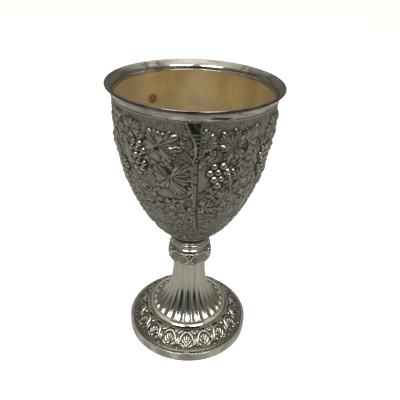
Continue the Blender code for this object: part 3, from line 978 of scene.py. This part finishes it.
class CupStageSettings(bpy.types.PropertyGroup):
    distance: length("Camera distance", "From the cup's axis to the camera, level", 0.2125)
    height: length("Camera height", "Above the table", 0.2103)
    pitch: degrees("Pitch", "How far down the camera looks", 30.43)
    yaw: degrees("Yaw", "How far right the camera looks", 1.24)
    roll: degrees("Roll", "How far the camera leans", 2.63)
    lens: factor("Lens", "Focal length in mm on a 36 mm sensor", 41.19)
    surroundings: factor("Surroundings", "Brightness of the room", 0.42)
    panels: factor("Panels", "Power of each soft panel in watts", 2.9)
    glow: factor("Glow", "Light that the floor gives off itself", 0.58)


SETTINGS = {
    "cup_bowl": CupBowlSettings,
    "cup_stem": CupStemSettings,
    "cup_foot": CupFootSettings,
    "cup_finishes": CupFinishSettings,
    "cup_stage": CupStageSettings,
}


# ---------------------------------------------------------------------------------------- operators


class CUP_OT_walls(bpy.types.Operator):
    """Builds the two embossed halves of the bowl's wall"""

    bl_idname = "cup.walls"
    bl_label = "Embossed walls"

    def execute(self, context):
        settings = context.scene.cup_bowl
        relief = vine(settings)
        outline = bowl_outline(settings)
        face = evenly(outline, 0.345)
        inside = sideways(evenly(outline, 9), -settings.wall / MM)[::-1]
        low = outline[0][1]
        foot = [(reach("draw_rod") + 1, low + 0.5), (reach("draw_rod") + 1, low)]
        inside[0] = (inside[0][0], outline[-1][1])
        inside[-1] = (outline[0][0] - 0.5, low + 0.5)
        along = [*distances(face), *[PLAIN] * (len(inside) + len(foot))]
        clear = 0.01  # how far each half ends short of the seam
        gap = math.degrees(clear / outline[-1][0])
        seam = math.degrees(settings.seam)
        for name, first in (("right", seam), ("left", seam - 180)):
            bm = spun(face + inside + foot, 348, along, first + gap, 180 - 2 * gap)
            wall = piece(
                f"embossed_wall_{name}",
                bm,
                material(oxidised_silver),
                "embossed_silver",
                f"bowl_wall_{name}",
                sharp=60,
            )
            emboss(wall, relief, face)
        return {"FINISHED"}


# Bright streaks in the gilding, painted reflections, as (angle, level, half width, half height).
PAINTED_GILT_STREAKS = (
    (-160, 141, 2.6, 8),
    (-153, 138, 1.6, 7),
    (-141, 136, 1.4, 9),
    (-168, 124, 2.2, 6),
    (164, 138, 1.6, 7),
    (150, 137, 1.4, 10),
    (143, 131, 1.6, 7),
    (171, 124, 1.8, 4),
)


class CUP_OT_liner(bpy.types.Operator):
    """Builds the gilt liner"""

    bl_idname = "cup.liner"
    bl_label = "Gilt liner"

    def execute(self, context):
        settings = context.scene.cup_bowl
        low, high = levels("bowl_liner")
        gap = reach("bowl_wall_left") - reach("bowl_liner")
        outside = sideways(evenly(bowl_outline(settings), 1.2), -gap)
        outside = [point for point in outside if point[1] > low + 2.2]
        knee = outside[0][0]
        corner = curve((knee - 4.6, low), (knee - 2.2, low), (knee - 0.9, low + 1.0), outside[0])
        outside = [(0.0, low), *corner, *outside[1:-1], (outside[-1][0], high)]
        inside = [point for point in sideways(outside, -LINER_SHEET) if point[1] > low + 7]
        inside[-1] = (inside[-1][0], high)
        slope = np.subtract(inside[0], inside[1]) * 2.6
        pull = tuple(np.add(inside[0], slope))
        inside = curve((0.0, low + 0.62), (6, low + 0.65), pull, inside[0], 0.8) + inside[1:]
        bm = spun(outside + inside[::-1], 192, closed=False)
        liner = piece("gilt_liner", bm, material(gilding), "gilt", "bowl_liner")
        dents(liner, 0.75, 3, (7, 11, 16, 23))
        self.stain(liner)
        self.worn_places(liner, low)
        return {"FINISHED"}

    def stain(self, liner):
        """A ring-shaped stain, darker at its edge than inside."""
        off = around(liner, -142, 131)
        size = 1.9
        keep_values(liner.data, "stain", 0.8 * hump(off - size, 1.1) + 0.35 * (off < size))

    def worn_places(self, liner, floor):
        """Painted reflections: bright streaks, and a broad paler stretch at the back that ends above the
        floor.
        """
        points = positions(liner.data)
        turned = np.degrees(bearings(points))
        middle = 35  # the liner's radius where the streaks are
        streak = np.zeros(len(points))
        for angle, level, width, height in PAINTED_GILT_STREAKS:
            aside = np.abs(short_way(turned - angle)) * np.radians(middle) / width
            shape = np.clip(1 - aside**2 - ((points[:, 2] - level) / height) ** 2, 0, 1)
            streak = np.maximum(streak, shape)
        # The streak value paints bright reflections into the gilding.
        keep_values(liner.data, "streak", streak * 0.9)
        # The pale value paints a paler reflection over the back of the liner.
        from_back = np.abs(short_way(turned - 178))
        above = step(points[:, 2] - floor - 14, 8)
        keep_values(liner.data, "pale", np.clip(1.5 - from_back / 16, 0, 1) * above)


# Tarnished places of the lip, as (angle, level, size).
LIP_STAINS = (
    (-150, 147.6, 7),
    (-138, 148.4, 5),
    (133, 147.6, 6),
    (141, 148.6, 4),
    (-44, 149.4, 5),
    (-30, 149.2, 4),
    (-14, 149.6, 3),
    (28, 149.4, 4),
    (44, 149.4, 4),
)


class CUP_OT_lip(bpy.types.Operator):
    """Builds the flared lip with its rolled edge"""

    bl_idname = "cup.lip"
    bl_label = "Flared lip"

    def execute(self, context):
        low, high = levels("lip_ring")
        rim, neck = reach("lip_ring"), reach("bowl_wall_left")
        throat = reach("bowl_liner") - LINER_SHEET
        bead = 0.62
        joint = low - LAP
        centre = (rim - bead, high - bead)
        crown = (centre[0] - 0.3, high)
        step_in = arc((throat + 0.12, joint + 0.3), 0.3, 0.3, -90, -260, 8)
        flare = curve(step_in[-1], (throat + 0.1, low + 2.6), (crown[0] - 1.3, high - 0.7), crown, 0.2)
        edge = arc(centre, bead, bead, 90, -80, 16)
        hang = (neck + 1.2, high - 1.6), (neck + 0.3, low + 2.0)
        cove = curve(edge[-1], *hang, (neck + 0.1, joint), 0.2)
        bm = spun(step_in + flare[1:] + edge[1:] + cove[1:], 256)
        lip = piece("flared_lip", bm, material(lip_silver), "polished_silver", "lip_ring")
        points = positions(lip.data)
        rolled = step(radii(points) - (rim - 1.3), 0.35) * step(high + 0.05 - points[:, 2], 0.35)
        keep_values(lip.data, "edge", rolled)
        stain = np.zeros(len(points))
        for angle, level, size in LIP_STAINS:
            stain = np.maximum(stain, np.clip(1.2 * (1 - around(lip, angle, level) / size), 0, 1))
        keep_values(lip.data, "stain", stain)
        dents(lip, 0.10, 5, (4, 7, 11, 17))
        return {"FINISHED"}


class CUP_OT_seat(bpy.types.Operator):
    """Builds the waisted seat under the bowl"""

    bl_idname = "cup.seat"
    bl_label = "Waisted seat"

    def execute(self, context):
        waist = context.scene.cup_stem.waist / MM
        low, high = levels("bowl_seat")
        top = reach("bowl_seat")
        edge = 0.5
        bead = arc((waist - 0.1, low + 1.3), 0.75, 1.25, -85, 62, 12)
        pulls = (waist + 0.5, low + 4.2), (top - 1.6, high - 2.4)
        cove = curve((waist + 0.12, low + 2.5), *pulls, (top, high - edge), 0.25)
        rim = arc((top - 0.3, high - 0.3), 0.3, 0.3, 0, 90, 5)
        bm = spun([(BORE, low), (waist - 0.2, low), *bead, *cove, *rim, (BORE, high)], 160)
        seat = piece("waisted_seat", bm, material(embossed_bright), "polished_silver", "bowl_seat")
        level = positions(seat.data)[:, 2]
        # The dark band in the cove is a painted dark reflection, kept as the hollow value.
        keep_values(seat.data, "hollow", step(level - high + 4.6, 0.5) * step(high - edge - level, 0.4))
        return {"FINISHED"}


class CUP_OT_knop(bpy.types.Operator):
    """Builds the knop with its reeds and crossed ribbons"""

    bl_idname = "cup.knop"
    bl_label = "Reeded knop"

    def execute(self, context):
        settings = context.scene.cup_stem
        low, high = levels("knop")
        neck = settings.top_radius / MM
        widest = high - settings.shoulder / MM
        room_for_relief = 0.65
        bulge = reach("knop") - neck - room_for_relief
        foot = low - LAP
        shoulder = arc((neck, widest), bulge, high - widest, 0, 84, 40)
        undercut = arc((neck, widest), bulge, settings.undercut / MM, -88, -2, 40)
        outline = [(neck, foot), *undercut, *shoulder]
        relief = Relief(outline, 360 / settings.ribbons, 0.12)
        under = distances(outline)[1]
        self.ribbons(relief, under, settings.reeds)
        self.neck_flutes(relief, under, settings)
        relief.polish[:] = 1
        face = evenly(outline, 0.2)
        bm = spun([*face, (BORE, high), (BORE, foot)], 360, [*distances(face), PLAIN, PLAIN])
        knop = piece("reeded_knop", bm, material(embossed_bright), "polished_silver", "knop", sharp=60)
        emboss(knop, relief, face)
        return {"FINISHED"}

    def ribbons(self, relief, under, reeds):
        """Reeds round the bulge and a pair of crossed ribbons over them, between two grooves."""
        length = relief.along[-1] - under
        band_low, band_high = under + 0.14 * length, under + 0.78 * length
        place = relief.along[:, None]
        band = step(place - band_low, 0.4) * step(band_high - place, 0.4)
        share = (place - band_low) / (band_high - band_low)
        relief.height += band * (0.34 * np.abs(np.sin(math.pi * share * reeds)) ** 0.7 - 0.06)
        lean = 0.42 * relief.repeat
        for side in (-1, 1):
            centre = side * lean * (share - 0.5)
            across = np.radians(relief.turn(0)[None, :] - centre) * relief.radius[:, None]
            flat = step(1.45 - np.abs(across), 0.22) * band
            ribbed = 0.74 - 0.16 * across**2 + 0.10 * np.cos(across * 5)
            relief.height = relief.height * (1 - flat) + ribbed * flat
            relief.height -= 0.12 * hump(np.abs(across) - 1.55, 0.2) * band
        for edge in (band_low, band_high):
            relief.height -= 0.12 * hump(place - edge, 0.25)

    def neck_flutes(self, relief, under, settings):
        """Short flutes on the neck, in line with the stem's."""
        flute = 360 / settings.flutes
        across = short_way(relief.turn(0), flute) / flute * 2.2
        channel = hump(across, 1) * 0.42 * settings.flute_depth / MM
        relief.height -= step(under - 0.3 - relief.along, 0.3)[:, None] * channel[None, :]


class CUP_OT_stem(bpy.types.Operator):
    """Builds the fluted trumpet stem"""

    bl_idname = "cup.stem"
    bl_label = "Fluted stem"

    def execute(self, context):
        settings = context.scene.cup_stem
        low, high = levels("stem")
        top, base = settings.top_radius / MM, reach("stem")
        skirt = low + 1.6
        rise = high - skirt
        wall = 1.3
        floor = high - 2
        flute_end = 2.6
        pulls = (top + 0.29 * (base - top), skirt + 0.16 * rise), (top, skirt + 0.49 * rise)
        outline = curve((base, skirt), *pulls, (top, high), 0.3)
        relief = Relief(outline, 360 / settings.flutes, 0.1)
        across = np.abs(relief.turn(0)) / (relief.repeat / 2)
        ends = np.sqrt(hump((1 - relief.along / flute_end).clip(0, 1), 1))
        width = 0.93 * ends[:, None] + 1e-6
        channel = hump(across[None, :], width)
        share = (relief.radius - top) / (base - top)
        depth = settings.flute_depth / MM * (0.42 + 0.85 * share)
        relief.height = -depth[:, None] * channel * (ends[:, None] > 0.02)
        relief.polish[:] = 1
        face = evenly(outline, 0.4)
        inside = [point for point in sideways(evenly(outline, 3), -wall) if point[1] < floor - 0.2]
        inside = [*inside[1:], (inside[-1][0], floor)]
        rest = [(BORE, high), (BORE, floor), *inside[::-1]]
        rest += [(base - wall, skirt - 0.3), (base - wall, low), (base, low)]
        along = [*distances(face), *[PLAIN] * len(rest)]
        bm = spun(face + rest, settings.flutes * 18, along)
        stem = piece("fluted_stem", bm, material(stem_silver), "polished_silver", "stem", sharp=50)
        emboss(stem, relief, face)
        return {"FINISHED"}


class CUP_OT_ring(bpy.types.Operator):
    """Builds the polished ring round the foot of the flutes"""

    bl_idname = "cup.ring"
    bl_label = "Polished ring"

    def execute(self, context):
        low, high = levels("foot_ring")
        inner, outer = reach("stem") + 0.06, reach("foot_ring")
        width = outer - inner
        fall_width = 0.26 * width
        brow = (inner + fall_width, high)
        pulls = (outer - 0.05, low + 1.4), (inner + 0.62 * width, high - 0.1)
        face = curve((outer, low + 0.2), *pulls, brow, 0.12)
        fall = arc((brow[0], high - 0.5), fall_width - 0.05, 0.5, 90, 165, 8)
        bm = spun([(inner, low), (outer, low), *face, *fall[1:]], 224)
        ring = piece("polished_ring", bm, material(worn_silver), "polished_silver", "foot_ring")
        dents(ring, 0.1, 9, (3, 5, 8))
        return {"FINISHED"}


class CUP_OT_foot(bpy.types.Operator):
    """Builds the sloping foot with its border of arched leaves"""

    bl_idname = "cup.foot"
    bl_label = "Leaf foot"

    def execute(self, context):
        settings = context.scene.cup_foot
        high = levels("foot_plate")[1]
        edge = (reach("foot_plate"), levels("foot_band")[1])
        sheet = 0.8
        shoulder = (reach("foot_ring") + 0.6, high)
        run = edge[0] - shoulder[0]
        rise = high - edge[1]
        pulls = (edge[0] - 0.25 * run, edge[1] + 0.38 * rise), (shoulder[0] + 0.3 * run, high - 0.2 * rise)
        outline = curve(edge, *pulls, shoulder, 0.2)
        relief = Relief(outline, 360 / settings.leaves, 0.12)
        leaf_border(relief, settings.leaf_lift / MM)
        face = evenly(outline, 0.27)
        under = [(radius - 0.25, level - sheet) for radius, level in evenly(outline, 2)]
        under[0] = (edge[0], edge[1] - 1.1)
        ledge = settings.ledge / MM
        rest = [(ledge, high), (ledge, high - sheet), *under[::-1]]
        along = [*distances(face), *[PLAIN] * len(rest)]
        bm = spun(face + rest, settings.leaves * 36, along)
        foot = piece("leaf_foot", bm, material(oxidised_silver), "embossed_silver", "foot_plate", sharp=60)
        emboss(foot, relief, face)
        return {"FINISHED"}


class CUP_OT_band(bpy.types.Operator):
    """Builds the edge band that the cup stands on, and the solder where its ends meet"""

    bl_idname = "cup.band"
    bl_label = "Edge band"

    def execute(self, context):
        low, high = levels("foot_band")
        outer = reach("foot_band")
        inner = reach("foot_plate") + 0.3
        top = arc((outer - 0.2, high - 0.2), 0.2, 0.2, 0, 90, 6)
        foot = arc((outer - 0.15, low + 0.15), 0.15, 0.15, -90, 0, 4)
        wall = evenly([foot[-1], top[0]], 0.8)[1:-1]
        inside = [(inner, high - 0.1), (inner, low)]
        bm = spun([*foot, *wall, *top, *inside], 256)
        band = piece("edge_band", bm, material(worn_silver), "polished_silver", "foot_band")
        dents(band, 0.12, 4, (3, 5, 9))
        self.solder(inner, high)
        return {"FINISHED"}

    def solder(self, radius, level):
        """A short run of solder over the band's joint."""
        bm = bmesh.new()
        bmesh.ops.create_icosphere(bm, subdivisions=4, radius=1)
        for vert in bm.verts:
            ripple = 1 + 0.12 * math.sin(9 * vert.co.x) * math.cos(7 * vert.co.y)
            vert.co = Vector((vert.co.x * 1.5, vert.co.y * 0.42 * ripple, vert.co.z * 0.22 * ripple))
        bmesh.ops.translate(bm, verts=bm.verts, vec=(0.3, -radius + 0.05, level - 0.02))
        bmesh.ops.scale(bm, verts=bm.verts, vec=(MM, MM, MM))
        piece("solder_run", bm, material(worn_silver), "polished_silver")


class CUP_OT_fastening(bpy.types.Operator):
    """Builds the draw rod, its bearing plate, the washer and the nut"""

    bl_idname = "cup.fastening"
    bl_label = "Rod and nut"

    def execute(self, context):
        self.rod()
        self.plate()
        self.nut()
        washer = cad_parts["lock_washer"].data.materials
        washer.clear()
        washer.append(material(spring_steel))
        return {"FINISHED"}

    def rod(self):
        low, high = levels("draw_rod")
        flange = reach("draw_rod")
        radius, thread_pitch = 2.5, 0.8
        thread_top, flange_low = low + 12, high - 1.5
        thread = evenly([(radius - 0.1, low + 0.5), (radius - 0.1, thread_top)], 0.1)
        outline = [(0.0, low), (radius - 0.6, low), *thread, (radius, thread_top + 0.1)]
        outline += [(radius, flange_low), (flange, flange_low), (flange, high), (0.0, high)]
        along = [PLAIN] * 2 + list(distances(thread)) + [PLAIN] * 5
        bm = spun(outline, 48, along, closed=False)
        rod = piece("threaded_rod", bm, material(dull_brass), "brass", "draw_rod", sharp=50)
        points, place = positions(rod.data), places_along(rod.data)
        turn = np.arctan2(points[:, 1], points[:, 0]) / math.tau
        ridge = np.abs((place / thread_pitch - turn) % 1 - 0.5) * 2
        points[:, :2] *= np.where(place >= 0, 1 + (0.10 - 0.42 * ridge) / radius, 1)[:, None]
        move(rod.data, points)

    def plate(self):
        low, high = levels("bearing_plate")
        rim = reach("bearing_plate")
        wall = 1.2
        crown = high - low - wall
        under = [(rim - 0.2, low), (rim - 4.4, low)]
        under += curve((rim - 4.7, low), (rim - 8, low + 0.1), (9, low + crown), (5.6, low + crown), 0.6)
        under += [(BORE, low + crown)]
        over = [(radius, level + wall) for radius, level in under]
        bm = spun(over + under[::-1] + [(rim, low + 0.2), (rim, low + wall - 0.2)], 128)
        piece("dished_plate", bm, material(dull_brass), "brass", "bearing_plate")

    def nut(self):
        low, high = levels("tie_nut")
        flats = 4.0
        bore = 2.62
        sink = 0.35
        side = evenly([(flats, low + 0.05), (flats, high - 0.05)], 0.2)
        faces = [(bore + sink, low), (flats - 0.2, low), *side, (flats - 0.2, high), (bore + sink, high)]
        bm = spun([*faces, (bore, high - sink), (bore, low + sink)], 120)
        nut = piece("hex_nut", bm, material(dull_brass), "brass", "tie_nut", sharp=25)
        points = positions(nut.data)
        radius, angle = radii(points), np.arctan2(points[:, 1], points[:, 0])
        hexagon = flats / np.cos(angle % (math.pi / 3) - math.pi / 6)
        from_end = np.minimum(points[:, 2] - low, high - points[:, 2])
        cone = flats + 0.1 + 1.7 * from_end
        outside = radius > flats - 0.1
        points[:, :2] *= np.where(outside, np.minimum(hexagon, cone) / radius, 1)[:, None]
        move(nut.data, points)


# Sizes and places on the stage are metres.
FLOOR_HALF = 6
BACKDROP_FAR, BACKDROP_HIGH = 5.9, 8
CARD_HALF, CARD_BACK, CARD_LOW, CARD_HIGH = 0.24, -0.43, -0.10, 0.40
SPOT_MIDDLE, SPOT_HALF, SPOT_LEVEL = (0.135, -0.175), (0.062, 0.040), 0.002
PANEL_SIZE, PANEL_DISTANCE, PANEL_AIM = (0.38, 0.24), 0.9, 0.06
PANEL_ELEVATION, PANEL_AZIMUTH = 50, 28
PANEL_TINT = (1.0, 0.985, 0.95)
SENSOR = 36  # width of the camera's sensor, in mm

# Brightness of the room by the sine of the angle above the table, and its tint.
ROOM = ((-1, 0.9), (-0.8, 1.05), (-0.5, 1.15), (-0.15, 0.8), (0.05, 0.34), (0.55, 0.4), (0.85, 1.7), (1, 2.9))
ROOM_TINT = (1, 0.975, 0.87)


def rectangle(middle, half, level):
    """Corners of a level rectangle."""
    signs = ((-1, -1), (1, -1), (1, 1), (-1, 1))
    return [(middle[0] + half[0] * x, middle[1] + half[1] * y, level) for x, y in signs]


class CUP_OT_stage(bpy.types.Operator):
    """Sets the table, the room, the two soft panels and the camera"""

    bl_idname = "cup.stage"
    bl_label = "Stage"

    def execute(self, context):
        settings = context.scene.cup_stage
        self.table(settings.glow)
        self.card()
        self.spot()
        self.backdrop()
        self.room(context.scene, settings.surroundings)
        for side in (-1, 1):
            self.panel(side, settings.panels)
        self.camera(context.scene, settings)
        context.scene.view_settings.view_transform = "Standard"
        return {"FINISHED"}

    def flat(self, name, corners, shader_inputs):
        """A flat four-sided piece of the stage."""
        bm = bmesh.new()
        bm.faces.new([bm.verts.new(corner) for corner in corners])
        mesh = bpy.data.meshes.new(name)
        bm.to_mesh(mesh)
        bm.free()
        mesh.materials.append(Shader(name).finish(**shader_inputs))
        made = bpy.data.objects.new(name, mesh)
        bpy.context.scene.collection.objects.link(made)
        return made

    def table(self, glow):
        """The pale floor. Metal reflects the room in its place, so that the white doesn't bleach it."""
        looks = {"Base_Color": (0.80, 0.80, 0.80, 1), "Roughness": 0.9}
        looks.update({"Emission_Color": (1, 1, 1, 1), "Emission_Strength": glow})
        table = self.flat("table", rectangle((0, 0), (FLOOR_HALF, FLOOR_HALF), 0), looks)
        table.visible_glossy = False

    def dark_card(self, name, corners, blue):
        """A dark card that shows only in reflections."""
        made = self.flat(name, corners, {"Base_Color": (0.02, 0.03, blue, 1), "Roughness": 1.0})
        made.visible_camera = False
        made.visible_diffuse = False
        made.visible_shadow = False

    def card(self):
        """The card behind the camera, that darkens the middle of each reflection."""
        corners = [(-CARD_HALF, CARD_BACK, CARD_LOW), (CARD_HALF, CARD_BACK, CARD_LOW)]
        corners += [(CARD_HALF, CARD_BACK, CARD_HIGH), (-CARD_HALF, CARD_BACK, CARD_HIGH)]
        self.dark_card("card", corners, 0.05)

    def spot(self):
        """The card on the table at the cup's right, that the lip mirrors as a dark oval."""
        self.dark_card("spot", rectangle(SPOT_MIDDLE, SPOT_HALF, SPOT_LEVEL), 0.04)

    def backdrop(self):
        """Four pale walls round the table, that only the camera sees."""
        far, high = BACKDROP_FAR, BACKDROP_HIGH
        looks = {"Base_Color": (0, 0, 0, 1), "Emission_Color": (1, 1, 1, 1), "Emission_Strength": 0.9}
        for turn in range(4):
            spin = Matrix.Rotation(turn * math.pi / 2, 4, "Z")
            corners = [spin @ Vector((x * far, far, z * high)) for x, z in ((-1, 0), (1, 0), (1, 1), (-1, 1))]
            wall = self.flat(f"backdrop_{turn}", corners, looks)
            wall.visible_glossy = False
            wall.visible_diffuse = False
            wall.visible_shadow = False

    def room(self, scene, brightness):
        """A room that is dark near the cup, grey at its level and pale overhead."""
        shader = Shader("room", room=True)
        direction = shader.node("ShaderNodeTexCoord", output=0)
        height = shader.node("ShaderNodeSeparateXYZ", output=2, Vector=direction)
        stops = []
        for place, share in ROOM:
            stops.append((0.5 + place / 2, darkened(ROOM_TINT, share * brightness)))
        colour = shader.node("ShaderNodeValToRGB", {"stops": stops}, Fac=height * 0.5 + 0.5)
        upright = shader.node("ShaderNodeMapping", Vector=direction, Scale=(1, 1, 0.25))
        patches = shader.node("ShaderNodeTexNoise", Vector=upright, Scale=3.4, Detail=2.0)
        shader.finish(Color=colour, Strength=shader.between(patches, 0.36, 0.64) * 0.5 + 0.75)
        scene.world = shader.material

    def panel(self, side, power):
        """One of two soft panels, side by side above the camera."""
        lamp = bpy.data.lights.new("panel", "AREA")
        lamp.shape = "RECTANGLE"
        lamp.size, lamp.size_y = PANEL_SIZE
        lamp.energy = power
        lamp.color = PANEL_TINT
        made = bpy.data.objects.new("panel", lamp)
        elevation, azimuth = math.radians(PANEL_ELEVATION), math.radians(PANEL_AZIMUTH * side)
        level, rise = PANEL_DISTANCE * math.cos(elevation), PANEL_DISTANCE * math.sin(elevation)
        made.location = (level * math.sin(azimuth), -level * math.cos(azimuth), PANEL_AIM + rise)
        aim = Vector((0, 0, PANEL_AIM)) - made.location
        made.rotation_euler = aim.to_track_quat("-Z", "Y").to_euler()
        bpy.context.scene.collection.objects.link(made)

    def camera(self, scene, settings):
        lens = bpy.data.cameras.new("camera")
        lens.lens = settings.lens
        lens.sensor_width = SENSOR
        lens.clip_start = 0.01
        made = bpy.data.objects.new("camera", lens)
        place = Matrix.Translation((0, -settings.distance, settings.height))
        turn = Matrix.Rotation(-settings.yaw, 4, "Z")
        tilt = Matrix.Rotation(math.pi / 2 - settings.pitch, 4, "X")
        made.matrix_world = place @ turn @ tilt @ Matrix.Rotation(settings.roll, 4, "Z")
        scene.collection.objects.link(made)
        scene.camera = made


OPERATORS = (
    CUP_OT_walls,
    CUP_OT_liner,
    CUP_OT_lip,
    CUP_OT_seat,
    CUP_OT_knop,
    CUP_OT_stem,
    CUP_OT_ring,
    CUP_OT_foot,
    CUP_OT_band,
    CUP_OT_fastening,
    CUP_OT_stage,
)


class CUP_PT_sidebar(bpy.types.Panel):
    """Lists the cup's settings and pieces"""

    bl_idname = "CUP_PT_sidebar"
    bl_label = "Footed cup"
    bl_space_type = "VIEW_3D"
    bl_region_type = "UI"
    bl_category = "Cup"

    def draw(self, context):
        for name, group in SETTINGS.items():
            box = self.layout.box()
            for key in group.__annotations__:
                box.prop(getattr(context.scene, name), key)
        for operator in OPERATORS:
            self.layout.operator(operator.bl_idname)


CLASSES = (*SETTINGS.values(), *OPERATORS, CUP_PT_sidebar)


def register():
    for each in CLASSES:
        bpy.utils.register_class(each)
    for name, group in SETTINGS.items():
        setattr(bpy.types.Scene, name, bpy.props.PointerProperty(type=group))


def unregister():
    for name in SETTINGS:
        delattr(bpy.types.Scene, name)
    for each in reversed(CLASSES):
        bpy.utils.unregister_class(each)


def main():
    register()
    for operator in OPERATORS:
        group, name = operator.bl_idname.split(".")
        getattr(getattr(bpy.ops, group), name)()


if __name__ == "__main__":
    main()
